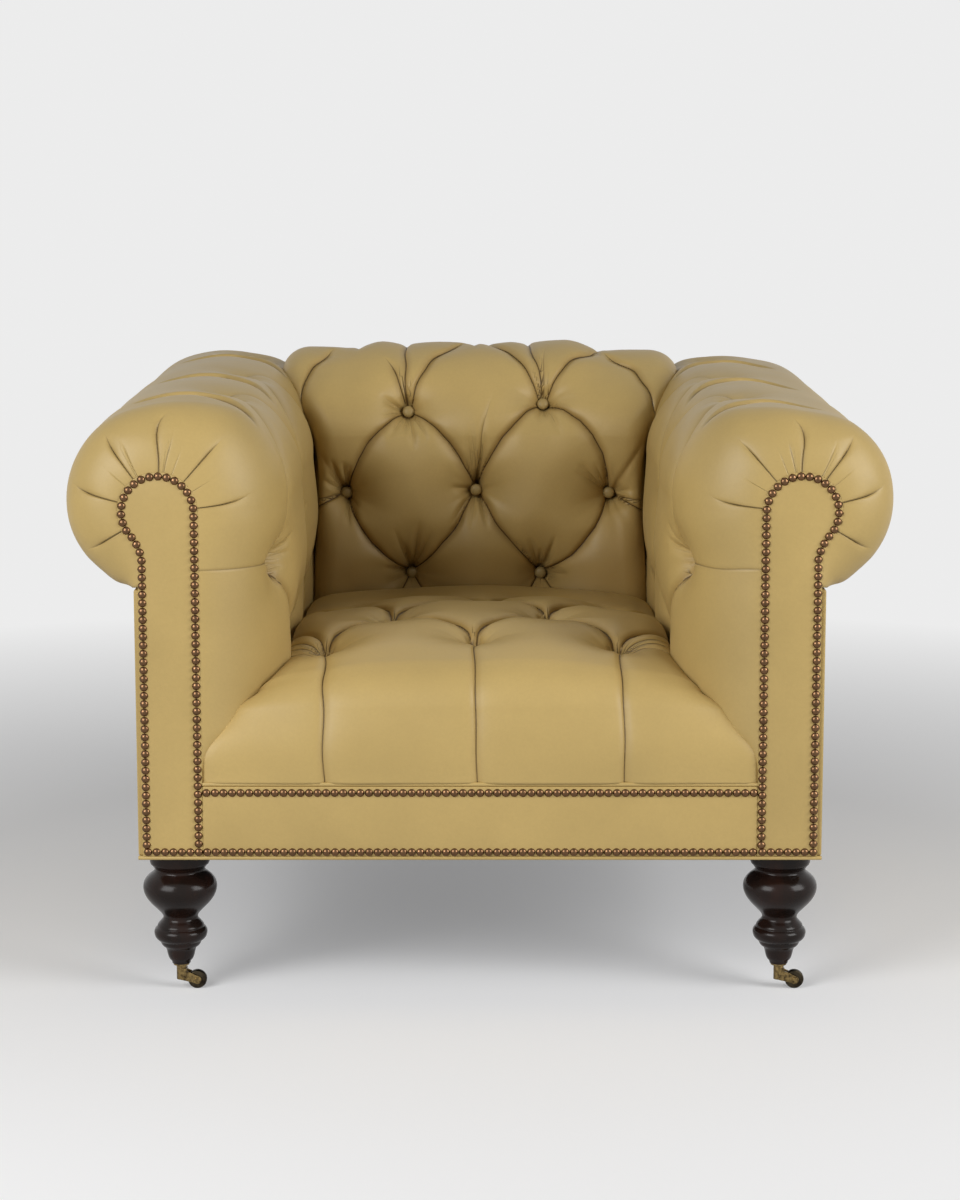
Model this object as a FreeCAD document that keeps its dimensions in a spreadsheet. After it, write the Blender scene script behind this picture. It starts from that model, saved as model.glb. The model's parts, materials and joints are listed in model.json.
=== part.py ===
import FreeCAD, Part
import math
import os
import re
import Sketcher
from FreeCAD import Vector

# Tufted club chair. Millimetres. X is to the sitter's left seen from the front,
# so +X is the picture's right, +Y is towards the back and +Z is up.
# The origin is on the floor, under the middle of the chair's box.

DOC = FreeCAD.newDocument("TuftedChair")
SHEET = DOC.addObject("Spreadsheet::Sheet", "Dimensions")

DRIVING = {
    # Whole chair
    "chair_width": 1066.0,
    "chair_depth": 965.0,
    "chair_height": 793.0,
    "arm_overhang": 90.0,
    "frame_bottom": 194.5,
    "body_rear_gap": 85.0,
    # Clearances
    "soft_gap": 0.3,
    "wood_gap": 0.1,
    "pad_gap": 1.0,
    "running_gap": 0.08,
    # Frame
    "rail_height": 92.0,
    "rail_thickness": 28.0,
    "stump_thickness": 30.0,
    "corner_post_width": 75.0,
    "corner_post_depth": 38.0,
    "back_post_width": 38.0,
    "back_post_depth": 40.0,
    "tack_rail_width": 25.0,
    "tack_rail_height": 40.0,
    "tack_rail_lift": 14.0,
    "liner_thickness": 5.0,
    "core_flat_drop": 30.0,
    "roll_clearance": 6.0,
    "corner_block_leg": 95.0,
    "corner_block_thickness": 35.0,
    "strap_width": 50.0,
    "strap_thickness": 1.5,
    "dust_cover_thickness": 1.5,
    # Leather panels and welts
    "panel_thickness": 4.0,
    "panel_edge_step": 6.0,
    "stem_width": 78.0,
    "scroll_radius": 51.5,
    "neck_drop": 61.0,
    "welt_diameter": 5.5,
    # Arm pads
    "arm_top_drop": 21.0,
    "arm_top_reach": 128.0,
    "arm_pad_thickness": 116.0,
    "arm_low_thickness": 100.0,
    "arm_tuft_depth": 42.0,
    "arm_tuft_pitch": 300.0,
    "arm_first_tuft": 130.0,
    "arm_pillow_depth": 50.0,
    "blind_tuft_half": 7.0,
    # Back pad
    "back_pad_thickness": 125.0,
    "back_core_radius": 52.0,
    "back_top_reach": 128.0,
    "back_rear_reach": 118.5,
    "back_tuft_depth": 44.0,
    "button_pitch": 200.0,
    "back_top_half": 297.0,
    # Seat pad
    "seat_height": 485.0,
    "seat_pad_thickness": 100.0,
    "seat_front_thickness": 60.0,
    "seat_tuft_depth": 30.0,
    "seat_tuft_pitch": 196.0,
    "seat_first_row": 165.0,
    "seat_row_pitch": 138.0,
    "seat_rear_gap": 2.0,
    "seat_crown": 62.0,
    # Covered buttons
    "button_diameter": 19.0,
    "button_height": 9.0,
    # Turned legs
    "leg_inset": 60.0,
    "leg_side_inset": 47.5,
    "leg_end": 34.5,
    "leg_top_radius": 39.5,
    "leg_neck_radius": 31.0,
    "leg_bulb_radius": 48.5,
    "leg_waist_radius": 22.5,
    "leg_ring_radius": 25.5,
    "leg_collar_radius": 35.0,
    "leg_step_radius": 27.5,
    "leg_cove_radius": 19.5,
    "leg_foot_radius": 17.8,
    "leg_end_radius": 11.5,
    "bolt_diameter": 8.0,
    "bolt_head_diameter": 18.0,
    "bolt_head_height": 3.0,
    "bolt_depth": 45.0,
    # Casters
    "wheel_diameter": 25.0,
    "wheel_width": 10.0,
    "wheel_crown": 1.2,
    "wheel_tread": 5.0,
    "axle_diameter": 4.0,
    "axle_head_diameter": 7.0,
    "axle_head_height": 1.4,
    "caster_trail": 21.0,
    "stem_diameter": 7.0,
    "socket_diameter": 12.0,
    "socket_depth": 30.0,
    "socket_flange_diameter": 21.0,
    "socket_flange_height": 2.0,
    "barrel_diameter": 13.0,
    "swivel_gap": 0.4,
    "fork_cheek": 2.0,
    "cheek_gap": 0.5,
    "fork_eye_radius": 5.5,
    "fork_crown_height": 4.0,
}

for row, (alias, number) in enumerate(DRIVING.items(), start=1):
    SHEET.set("A%d" % row, alias)
    SHEET.set("B%d" % row, str(number))
    SHEET.setAlias("B%d" % row, alias)
DOC.recompute()

# Sizes and places that follow from the driving ones.
DERIVED = {
    "front_y": "-chair_depth / 2",
    "rear_y": "chair_depth / 2",
    "body_rear_y": "rear_y - body_rear_gap",
    "body_width": "chair_width - 2 * arm_overhang",
    "panel_back_y": "front_y + panel_thickness",
    "stump_back_y": "panel_back_y + stump_thickness",
    "frame_top": "frame_bottom + rail_height",
    "outer_x": "body_width / 2",
    "frame_x": "outer_x - panel_thickness",
    "stem_outer_x": "outer_x - panel_edge_step",
    "stem_inner_x": "stem_outer_x - stem_width",
    "scroll_x": "stem_inner_x + scroll_radius",
    "scroll_height": "chair_height - arm_top_drop - arm_top_reach",
    "corner_post_y": "body_rear_y - panel_thickness - corner_post_depth",
    "back_core_half": "stem_inner_x - arm_pad_thickness + roll_clearance",
    "back_roll_centre_y": "rear_y - back_rear_reach",
    "back_base_y": "back_roll_centre_y - back_core_radius",
    "back_roll_centre_height": "chair_height - back_top_reach",
    "back_post_top": "back_roll_centre_height - core_flat_drop",
    "back_post_y": "back_base_y + soft_gap + liner_thickness + tack_rail_width",
    "arm_rear_y": "rear_y - 2 * panel_thickness",
    "pad_inner_x": "stem_inner_x - soft_gap",
    "pad_front_y": "front_y + soft_gap + pad_gap",
    "button_flat_half": "button_diameter / 2 + pad_gap",
    "core_flat": "scroll_height - core_flat_drop",
    "seat_base": "seat_height - seat_pad_thickness",
    "seat_base_y": "front_y + seat_front_thickness",
    "seat_top_y": "front_y + seat_first_row",
    "seat_foot": "frame_top + welt_diameter + 2 * pad_gap",
    "seat_rear_y": "back_base_y - back_pad_thickness - seat_rear_gap",
    "leg_spread": "outer_x - leg_side_inset",
    "webbing_top": "frame_top + 2 * strap_thickness",
    "leg_y": "front_y + leg_inset",
    "rear_leg_y": "body_rear_y - leg_inset",
    "leg_height": "frame_bottom - leg_end",
    "wheel_radius": "wheel_diameter / 2",
    "barrel_top": "leg_end - socket_flange_height - swivel_gap",
    "fork_half_width": "wheel_width / 2 + cheek_gap + fork_cheek",
    "block_top": "frame_bottom + corner_block_thickness",
}

# Heights between two others, as shares of the way up from the first.
HEIGHT_SHARES = {
    "arm_low_row": ("seat_foot", "scroll_height", 0.46),
    "arm_mid_row": ("seat_foot", "scroll_height", 0.774),
    "outer_panel_top": ("frame_bottom", "scroll_height", 0.7753),
    "back_low_row": ("seat_foot", "back_roll_centre_height", 0.418),
    "back_mid_row": ("seat_foot", "back_roll_centre_height", 0.7655),
    "outer_back_top": ("frame_bottom", "back_roll_centre_height", 0.779),
}
for name, (foot, head, share) in HEIGHT_SHARES.items():
    DERIVED[name] = "%s + (%s - %s) * %s" % (foot, head, foot, share)

NAME = re.compile(r"[A-Za-z_]\w*")


def bound(formula):
    """The formula with each size spelled as its cell in the sheet."""
    def spell(match):
        word = match.group(0)
        if word in DERIVED:
            return "(" + bound(DERIVED[word]) + ")"
        if word in DRIVING:
            return "Dimensions." + word
        return word
    return NAME.sub(spell, str(formula))


def size(formula):
    """The formula's value in millimetres."""
    return float(SHEET.evalExpression(bound(formula)))


PARTS = []


def keep(shape_object, name):
    """Give a finished sub-part its name and note it for writing."""
    shape_object.Label = name
    PARTS.append(shape_object)
    return shape_object


def tie(thing, **formulas):
    """Bind properties to the sheet. Double underscores stand for dots."""
    for key, formula in formulas.items():
        thing.setExpression(key.replace("__", "."), bound(formula))


def box(name, x, y, z):
    """A box between pairs of formulas along each axis."""
    solid = DOC.addObject("Part::Box", name)
    tie(solid, Length="(%s) - (%s)" % (x[1], x[0]), Width="(%s) - (%s)" % (y[1], y[0]))
    tie(solid, Height="(%s) - (%s)" % (z[1], z[0]))
    tie(solid, Placement__Base__x=x[0], Placement__Base__y=y[0], Placement__Base__z=z[0])
    return solid


def side_span(side, inner, outer):
    """The two x formulas of a piece that lies between inner and outer on one side."""
    if side > 0:
        return (inner, outer)
    return ("-(%s)" % outer, "-(%s)" % inner)


def signed(side, formula):
    return formula if side > 0 else "-(%s)" % formula


def group(name, solids):
    """Several solids in one node."""
    compound = DOC.addObject("Part::Compound", name)
    compound.Links = solids
    return keep(compound, name)


def plain(name, shape):
    """A piece made with Part's own functions."""
    solid = DOC.addObject("Part::Feature", name)
    solid.Shape = shape
    solid.Placement = FreeCAD.Placement()
    return keep(solid, name)


SIDES = (("left", -1), ("right", 1))


def sketch_on(body, plane, name):
    sketch = body.newObject("Sketcher::SketchObject", name)
    face = [f for f in body.Origin.OriginFeatures if f.Role == plane][0]
    sketch.AttachmentSupport = [(face, "")]
    sketch.MapMode = "FlatFace"
    return sketch


def closed_profile(sketch, corners):
    """A closed outline. Each corner is (x, y) or (x, y, mid x, mid y) in formulas, where the
    middle makes the stretch to the next corner an arc. Every point is tied to the sheet."""
    ends = []
    for corner, after in zip(corners, corners[1:] + corners[:1]):
        start = Vector(size(corner[0]), size(corner[1]), 0)
        end = Vector(size(after[0]), size(after[1]), 0)
        if len(corner) == 2:
            sketch.addGeometry(Part.LineSegment(start, end), False)
            ends.append((1, 2))
            continue
        middle = Vector(size(corner[2]), size(corner[3]), 0)
        if (middle - start).cross(end - middle).z > 0:
            sketch.addGeometry(Part.Arc(start, middle, end), False)
            ends.append((1, 2))
        else:
            sketch.addGeometry(Part.Arc(end, middle, start), False)
            ends.append((2, 1))
    for i, corner in enumerate(corners):
        after = (i + 1) % len(corners)
        tie_point(sketch, i, ends[i][0], corner[0], corner[1])
        joint = Sketcher.Constraint("Coincident", i, ends[i][1], after, ends[after][0])
        sketch.addConstraint(joint)
        if len(corner) > 2:
            middle = Part.Point(Vector(size(corner[2]), size(corner[3]), 0))
            point = sketch.addGeometry(middle, True)
            tie_point(sketch, point, 1, corner[2], corner[3])
            sketch.addConstraint(Sketcher.Constraint("PointOnObject", point, 1, i))


def tie_point(sketch, curve, end, x, y):
    for axis, formula in (("DistanceX", x), ("DistanceY", y)):
        index = sketch.addConstraint(
            Sketcher.Constraint(axis, -1, 1, curve, end, size(formula)))
        sketch.setExpression("Constraints[%d]" % index, bound(formula))


def turned(name, corners, x, y, along="XZ_Plane"):
    """A piece turned about the vertical line at x, y."""
    body = DOC.addObject("PartDesign::Body", name)
    sketch = sketch_on(body, along, name + "_profile")
    closed_profile(sketch, corners)
    turning = body.newObject("PartDesign::Revolution", name + "_turning")
    turning.Profile = sketch
    turning.ReferenceAxis = (sketch, ["V_Axis"])
    turning.Angle = 360.0
    tie(body, Placement__Base__x=x, Placement__Base__y=y)
    return body


# Frame

def build_frame():
    keep(box("front_rail", ("-(stem_inner_x - wood_gap)", "stem_inner_x - wood_gap"),
             ("panel_back_y", "panel_back_y + rail_thickness"),
             ("frame_bottom", "frame_top")), "front_rail")
    keep(box("rear_rail", ("-(frame_x)", "frame_x"),
             ("body_rear_y - panel_thickness - rail_thickness", "body_rear_y - panel_thickness"),
             ("frame_bottom", "frame_top")), "rear_rail")
    for word, side in SIDES:
        keep(box("side_rail_" + word, side_span(side, "frame_x - rail_thickness", "frame_x"),
                 ("stump_back_y + wood_gap",
                  "body_rear_y - panel_thickness - rail_thickness - wood_gap"),
                 ("frame_bottom", "frame_top")), "side_rail_" + word)
        keep(box("corner_post_" + word,
                 side_span(side, "frame_x - corner_post_width", "frame_x"),
                 ("corner_post_y", "body_rear_y - panel_thickness"),
                 ("frame_top", "core_flat")), "corner_post_" + word)
        keep(box("back_post_" + word,
                 side_span(side, "back_core_half - back_post_width", "back_core_half"),
                 ("back_post_y", "back_post_y + back_post_depth"),
                 ("frame_top", "back_post_top")), "back_post_" + word)
        for place, foot in (("arm_stay_rail_", "core_flat - tack_rail_height"),
                            ("arm_tack_rail_", "frame_top + tack_rail_lift")):
            keep(box(place + word,
                     side_span(side, "stem_inner_x + liner_thickness",
                               "stem_inner_x + liner_thickness + tack_rail_width"),
                     ("stump_back_y", "corner_post_y"),
                     (foot, foot + " + tack_rail_height")), place + word)
        keep(box("arm_liner_" + word,
                 side_span(side, "stem_inner_x", "stem_inner_x + liner_thickness"),
                 ("stump_back_y", "corner_post_y"),
                 ("frame_top + tack_rail_lift", "core_flat")), "arm_liner_" + word)
    keep(box("back_tack_rail", ("-(stem_inner_x)", "stem_inner_x"),
             ("back_post_y - tack_rail_width", "back_post_y"),
             ("frame_top + tack_rail_lift", "frame_top + tack_rail_lift + tack_rail_height")),
         "back_tack_rail")
    keep(box("back_liner", ("-(back_core_half)", "back_core_half"),
             ("back_base_y + soft_gap", "back_base_y + soft_gap + liner_thickness"),
             ("frame_top + tack_rail_lift", "back_post_top")), "back_liner")


# Arm fronts: the stump and the leather panel share one scroll outline

NECK_TURN_SHARES = (0.819, 0.574)
NECK_BEND_SHARES = (0.35, 0.54)
DIAGONAL_SHARE = math.sqrt(0.5)


def scroll_outline(side):
    """Stem with a round scroll at its head, in the plane across the chair."""
    neck_x = "(scroll_x + scroll_radius * %s)" % NECK_TURN_SHARES[0]
    neck_z = "(scroll_height - scroll_radius * %s)" % NECK_TURN_SHARES[1]
    bend_x = "stem_outer_x + (%s - stem_outer_x) * %s" % (neck_x, NECK_BEND_SHARES[0])
    bend_z = "scroll_height - neck_drop + (%s - scroll_height + neck_drop) * %s" % (
        neck_z, NECK_BEND_SHARES[1])
    lean = "scroll_radius * %s" % DIAGONAL_SHARE
    corners = [
        ("stem_inner_x", "frame_bottom"),
        ("stem_outer_x", "frame_bottom"),
        ("stem_outer_x", "scroll_height - neck_drop", bend_x, bend_z),
        (neck_x, neck_z, "scroll_x + " + lean, "scroll_height + " + lean),
        ("scroll_x", "scroll_height + scroll_radius", "scroll_x - " + lean,
         "scroll_height + " + lean),
        ("stem_inner_x", "scroll_height"),
    ]
    if side > 0:
        return corners
    flipped = []
    for corner in corners:
        flipped.append(tuple(
            "-(%s)" % part if i % 2 == 0 else part for i, part in enumerate(corner)))
    return flipped


def scroll_plate(name, side, back, thickness):
    body = DOC.addObject("PartDesign::Body", name)
    sketch = sketch_on(body, "XZ_Plane", name + "_outline")
    closed_profile(sketch, scroll_outline(side))
    pad = body.newObject("PartDesign::Pad", name + "_pad")
    pad.Profile = sketch
    tie(pad, Length=thickness)
    tie(body, Placement__Base__y=back)
    return keep(body, name)


def flat_bottomed_core(name, radius, length, flat_drop, place, axis):
    """A round bolster rail with a flat planed along its underside."""
    rod = DOC.addObject("Part::Cylinder", name + "_rod")
    tie(rod, Radius=radius, Height=length)
    turn = FreeCAD.Rotation(Vector(0, 0, 1), axis)
    rod.Placement = FreeCAD.Placement(Vector(*[size(p) for p in place]), turn)
    tie(rod, Placement__Base__x=place[0], Placement__Base__y=place[1])
    tie(rod, Placement__Base__z=place[2])
    if axis.y:
        waste = box(name + "_waste", ("%s - %s" % (place[0], radius),
                                      "%s + %s" % (place[0], radius)),
                    (place[1], "%s + %s" % (place[1], length)),
                    ("%s - %s" % (place[2], radius), "%s - %s" % (place[2], flat_drop)))
    else:
        waste = box(name + "_waste", (place[0], "%s + %s" % (place[0], length)),
                    ("%s - %s" % (place[1], radius), "%s + %s" % (place[1], radius)),
                    ("%s - %s" % (place[2], radius), "%s - %s" % (place[2], flat_drop)))
    core = DOC.addObject("Part::Cut", name)
    core.Base = rod
    core.Tool = waste
    return keep(core, name)


def build_arm_fronts_and_cores():
    for word, side in SIDES:
        scroll_plate("front_stump_" + word, side, "stump_back_y", "stump_thickness")
        scroll_plate("arm_front_panel_" + word, side, "panel_back_y", "panel_thickness")
        flat_bottomed_core("arm_roll_core_" + word, "scroll_radius",
                           "(arm_rear_y - stump_back_y)", "core_flat_drop",
                           (signed(side, "scroll_x"), "stump_back_y", "scroll_height"),
                           Vector(0, 1, 0))
        facing = DOC.addObject("Part::Cylinder", "rear_scroll_facing_" + word)
        facing.Placement = FreeCAD.Placement(
            Vector(), FreeCAD.Rotation(Vector(0, 0, 1), Vector(0, 1, 0)))
        tie(facing, Radius="scroll_radius", Height="panel_thickness")
        tie(facing, Placement__Base__x=signed(side, "scroll_x"))
        tie(facing, Placement__Base__y="arm_rear_y")
        tie(facing, Placement__Base__z="scroll_height")
        keep(facing, "rear_scroll_facing_" + word)
    flat_bottomed_core("back_roll_core", "(back_core_radius - soft_gap)", "(2 * back_core_half)",
                       "core_flat_drop",
                       ("-(back_core_half)", "back_roll_centre_y", "back_roll_centre_height"),
                       Vector(1, 0, 0))


# Outside panels, welts and the underside

def welt(name, start, axis, length):
    rod = DOC.addObject("Part::Cylinder", name)
    rod.Placement = FreeCAD.Placement(Vector(), FreeCAD.Rotation(Vector(0, 0, 1), axis))
    tie(rod, Radius="welt_diameter / 2", Height=length)
    tie(rod, Placement__Base__x=start[0], Placement__Base__y=start[1])
    tie(rod, Placement__Base__z=start[2])
    return rod


def build_panels():
    keep(box("front_border_panel", ("-(stem_inner_x - wood_gap)", "stem_inner_x - wood_gap"),
             ("front_y", "panel_back_y"), ("frame_bottom", "frame_top")), "front_border_panel")
    keep(box("outside_back_panel", ("-(frame_x)", "frame_x"),
             ("body_rear_y - panel_thickness", "body_rear_y"),
             ("frame_bottom", "outer_back_top")),
         "outside_back_panel")
    for word, side in SIDES:
        keep(box("outside_arm_panel_" + word, side_span(side, "frame_x", "outer_x"),
                 ("panel_back_y", "body_rear_y"), ("frame_bottom", "outer_panel_top")),
             "outside_arm_panel_" + word)
    half = "welt_diameter / 2"
    low = "frame_bottom - " + half
    front = "front_y + " + half
    rear = "body_rear_y - " + half
    runs = [
        welt("base_welt_front", ("-(outer_x)", front, low), Vector(1, 0, 0), "body_width"),
        welt("base_welt_rear", ("-(outer_x)", rear, low), Vector(1, 0, 0), "body_width"),
    ]
    for word, side in SIDES:
        x = signed(side, "outer_x - " + half)
        runs.append(welt("base_welt_" + word, (x, "front_y + welt_diameter", low),
                         Vector(0, 1, 0), "body_rear_y - front_y - 2 * welt_diameter"))
    group("base_welt", runs)
    keep(welt("seat_welt", ("-(stem_inner_x - wood_gap)", front, "frame_top + " + half),
              Vector(1, 0, 0), "2 * (stem_inner_x - wood_gap)"), "seat_welt")
    reach = "outer_x - welt_diameter - pad_gap"
    sheet = box("dust_cover_sheet", ("-(%s)" % reach, reach),
                ("panel_back_y + welt_diameter", "body_rear_y - welt_diameter"),
                ("frame_bottom - dust_cover_thickness", "frame_bottom"))
    holes = []
    for label, x, y in leg_places():
        hole = DOC.addObject("Part::Cylinder", "dust_cover_hole_" + label)
        tie(hole, Radius="leg_top_radius + soft_gap", Height="4 * dust_cover_thickness")
        tie(hole, Placement__Base__x=x, Placement__Base__y=y)
        tie(hole, Placement__Base__z="frame_bottom - 2 * dust_cover_thickness")
        holes.append(hole)
    cover = DOC.addObject("Part::Cut", "dust_cover")
    cover.Base = sheet
    cover.Tool = DOC.addObject("Part::Compound", "dust_cover_holes")
    cover.Tool.Links = holes
    keep(cover, "dust_cover")


def leg_places():
    """Label and axis of each of the four legs."""
    places = []
    for end, y in (("front", "leg_y"), ("rear", "rear_leg_y")):
        for word, side in SIDES:
            places.append((end + "_" + word, signed(side, "leg_spread"), y))
    return places


# Webbing, foam and corner blocks

STRAP_COUNT = 5
STRAP_SPAN_SHARE = 0.78


def build_seat_support():
    lengthwise = []
    crosswise = []
    for i in range(STRAP_COUNT):
        share = STRAP_SPAN_SHARE * (2.0 * i / (STRAP_COUNT - 1) - 1.0)
        x = "(stem_inner_x * %s)" % share
        lengthwise.append(box("long_strap_%d" % i,
                              (x + " - strap_width / 2", x + " + strap_width / 2"),
                              ("panel_back_y + 2 * pad_gap",
                               "body_rear_y - panel_thickness - wood_gap"),
                              ("frame_top", "frame_top + strap_thickness")))
        y = "((stump_back_y + corner_post_y) / 2 + (corner_post_y - stump_back_y) / 2 * %s)" % share
        crosswise.append(box("cross_strap_%d" % i, ("-(frame_x)", "frame_x"),
                             (y + " - strap_width / 2", y + " + strap_width / 2"),
                             ("frame_top + strap_thickness", "webbing_top")))
    group("webbing_lengthwise", lengthwise)
    group("webbing_crosswise", crosswise)
    keep(box("seat_foam_core", ("-(stem_inner_x - arm_low_thickness - 2 * pad_gap)",
                                "stem_inner_x - arm_low_thickness - 2 * pad_gap"),
             ("seat_base_y + soft_gap", "seat_rear_y"),
             ("webbing_top + soft_gap", "seat_base - soft_gap")), "seat_foam_core")


def corner_block(label, x, y):
    """A triangular glue block in a corner of the rails, bored for the leg's bolt."""
    side = 1 if size(x) > 0 else -1
    rear = size(y) > 0
    corner_x = signed(side, "frame_x - rail_thickness")
    inner_x = signed(side, "frame_x - rail_thickness - corner_block_leg")
    if rear:
        corner_y = "body_rear_y - panel_thickness - rail_thickness"
        inner_y = corner_y + " - corner_block_leg"
    else:
        corner_y = "stump_back_y"
        inner_y = corner_y + " + corner_block_leg"
    body = DOC.addObject("PartDesign::Body", "corner_block_" + label)
    sketch = sketch_on(body, "XY_Plane", "corner_block_outline_" + label)
    closed_profile(sketch, [(corner_x, corner_y), (inner_x, corner_y), (corner_x, inner_y)])
    pad = body.newObject("PartDesign::Pad", "corner_block_pad_" + label)
    pad.Profile = sketch
    tie(pad, Length="corner_block_thickness")
    tie(body, Placement__Base__z="frame_bottom")
    bore = DOC.addObject("Part::Cylinder", "corner_block_bore_" + label)
    tie(bore, Radius="bolt_diameter / 2 + wood_gap", Height="2 * corner_block_thickness")
    tie(bore, Placement__Base__x=x, Placement__Base__y=y)
    tie(bore, Placement__Base__z="frame_bottom - corner_block_thickness / 2")
    block = DOC.addObject("Part::Cut", "bored_block_" + label)
    block.Base = body
    block.Tool = bore
    return block


def leg_bolt(label, x, y):
    shank = DOC.addObject("Part::Cylinder", "leg_bolt_shank_" + label)
    tie(shank, Radius="bolt_diameter / 2", Height="corner_block_thickness + bolt_depth")
    tie(shank, Placement__Base__z="frame_bottom - bolt_depth")
    head = DOC.addObject("Part::Cylinder", "leg_bolt_head_" + label)
    tie(head, Radius="bolt_head_diameter / 2", Height="bolt_head_height")
    tie(head, Placement__Base__z="block_top")
    for piece in (shank, head):
        tie(piece, Placement__Base__x=x, Placement__Base__y=y)
    bolt = DOC.addObject("Part::Fuse", "leg_bolt_" + label)
    bolt.Base = shank
    bolt.Tool = head
    return bolt


# Turned legs

# Radius and height of each bead and cove, the heights as shares of the leg's height. A
# third and fourth entry give the middle of the arc to the next one.
LEG_SHARES = (
    ("leg_top_radius", 1.0),
    ("leg_top_radius", 0.905),
    ("leg_neck_radius", 0.862),
    ("leg_neck_radius", 0.784),
    ("leg_neck_radius * 1.08", 0.772, "leg_bulb_radius * 0.92", 0.730),
    ("leg_bulb_radius", 0.655, "leg_bulb_radius * 0.85", 0.550),
    ("leg_waist_radius", 0.420),
    ("leg_waist_radius", 0.395),
    ("leg_ring_radius", 0.387),
    ("leg_ring_radius", 0.357),
    ("leg_waist_radius", 0.347),
    ("leg_waist_radius", 0.328),
    ("leg_collar_radius * 0.85", 0.292, "leg_collar_radius", 0.252),
    ("leg_step_radius * 1.06", 0.200),
    ("leg_step_radius", 0.172),
    ("leg_cove_radius", 0.150),
    ("leg_cove_radius", 0.125),
    ("leg_foot_radius", 0.110),
    ("leg_foot_radius", 0.075),
    ("leg_end_radius", 0.030),
    ("leg_end_radius", 0.0),
)


def turned_leg(label, x, y):
    name = "leg_" + label
    socket = "socket_diameter / 2 + wood_gap"
    bolt = "bolt_diameter / 2 + wood_gap"
    low = "leg_end"
    corners = [(bolt, "frame_bottom")]
    for entry in LEG_SHARES:
        corner = (entry[0], low + " + leg_height * %s" % entry[1])
        if len(entry) > 2:
            corner += (entry[2], low + " + leg_height * %s" % entry[3])
        corners.append(corner)
    corners += [
        (socket, "leg_end"),
        (socket, "leg_end + socket_depth"),
        ("0", "leg_end + socket_depth"),
        ("0", "frame_bottom - bolt_depth - wood_gap"),
        (bolt, "frame_bottom - bolt_depth - wood_gap"),
    ]
    return keep(turned(name, corners, x, y), name)


# Casters

def caster_socket(label, x, y):
    """A flanged brass sleeve in the foot of the leg."""
    bore = "stem_diameter / 2 + running_gap"
    corners = [
        (bore, "leg_end - socket_flange_height"),
        ("socket_flange_diameter / 2", "leg_end - socket_flange_height"),
        ("socket_flange_diameter / 2", "leg_end"),
        ("socket_diameter / 2", "leg_end"),
        ("socket_diameter / 2", "leg_end + socket_depth - wood_gap"),
        (bore, "leg_end + socket_depth - wood_gap"),
    ]
    return turned("caster_socket_" + label, corners, x, y)


def caster_fork(label, x, y):
    """Stem and barrel with two cheeks that slope down to the axle behind them."""
    name = "caster_fork_" + label
    stem = DOC.addObject("Part::Cylinder", name + "_stem")
    tie(stem, Radius="stem_diameter / 2", Height="leg_end + socket_depth / 2 - barrel_top")
    tie(stem, Placement__Base__z="barrel_top")
    barrel = DOC.addObject("Part::Cylinder", name + "_barrel")
    tie(barrel, Radius="barrel_diameter / 2", Height="barrel_top - wheel_radius")
    tie(barrel, Placement__Base__z="wheel_radius")
    for piece in (stem, barrel):
        tie(piece, Placement__Base__x=x, Placement__Base__y=y)
    sketch = DOC.addObject("Sketcher::SketchObject", name + "_cheek_outline")
    sketch.Placement = FreeCAD.Placement(Vector(), FreeCAD.Rotation(Vector(1, 0, 0), 90))
    eye = "fork_eye_radius"
    lean = "fork_eye_radius * %s" % DIAGONAL_SHARE
    closed_profile(sketch, [
        ("0", "barrel_top - fork_crown_height"),
        ("caster_trail + " + lean, "wheel_radius + " + lean,
         "caster_trail + " + lean, "wheel_radius - " + lean),
        ("caster_trail - " + lean, "wheel_radius - " + lean),
        ("0", "wheel_radius"),
    ])
    cheeks = []
    for mark, low in (("a", "-(fork_half_width)"), ("b", "fork_half_width - fork_cheek")):
        cheek = DOC.addObject("Part::Extrusion", name + "_cheek_" + mark)
        cheek.Base = sketch
        cheek.DirMode = "Custom"
        cheek.Dir = Vector(0, 1, 0)
        cheek.Solid = True
        tie(cheek, LengthFwd="fork_cheek")
        tie(cheek, Placement__Base__x=x, Placement__Base__y="%s + %s" % (y, low))
        cheeks.append(cheek)
    crown = box(name + "_crown", (x, "%s + caster_trail - wheel_radius - 2 * cheek_gap" % x),
                ("%s - (fork_half_width)" % y, "%s + fork_half_width" % y),
                ("wheel_radius", "barrel_top - fork_crown_height"))
    whole = DOC.addObject("Part::MultiFuse", name + "_whole")
    whole.Shapes = [barrel, stem, crown] + cheeks
    bore = DOC.addObject("Part::Cylinder", name + "_bore")
    bore.Placement = FreeCAD.Placement(
        Vector(), FreeCAD.Rotation(Vector(0, 0, 1), Vector(0, 1, 0)))
    tie(bore, Radius="axle_diameter / 2 + running_gap", Height="4 * fork_half_width")
    tie(bore, Placement__Base__x="%s + caster_trail" % x)
    tie(bore, Placement__Base__y="%s - 2 * fork_half_width" % y)
    tie(bore, Placement__Base__z="wheel_radius")
    fork = DOC.addObject("Part::Cut", name)
    fork.Base = whole
    fork.Tool = bore
    return keep(fork, name)


def lying(name, corners, x, y):
    """A piece turned about a level line along Y, at the wheel's height."""
    body = DOC.addObject("PartDesign::Body", name)
    sketch = sketch_on(body, "YZ_Plane", name + "_profile")
    closed_profile(sketch, corners)
    turning = body.newObject("PartDesign::Revolution", name + "_turning")
    turning.Profile = sketch
    turning.ReferenceAxis = (sketch, ["H_Axis"])
    turning.Angle = 360.0
    tie(body, Placement__Base__x="%s + caster_trail" % x, Placement__Base__y=y)
    tie(body, Placement__Base__z="wheel_radius")
    return keep(body, name)


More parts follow.
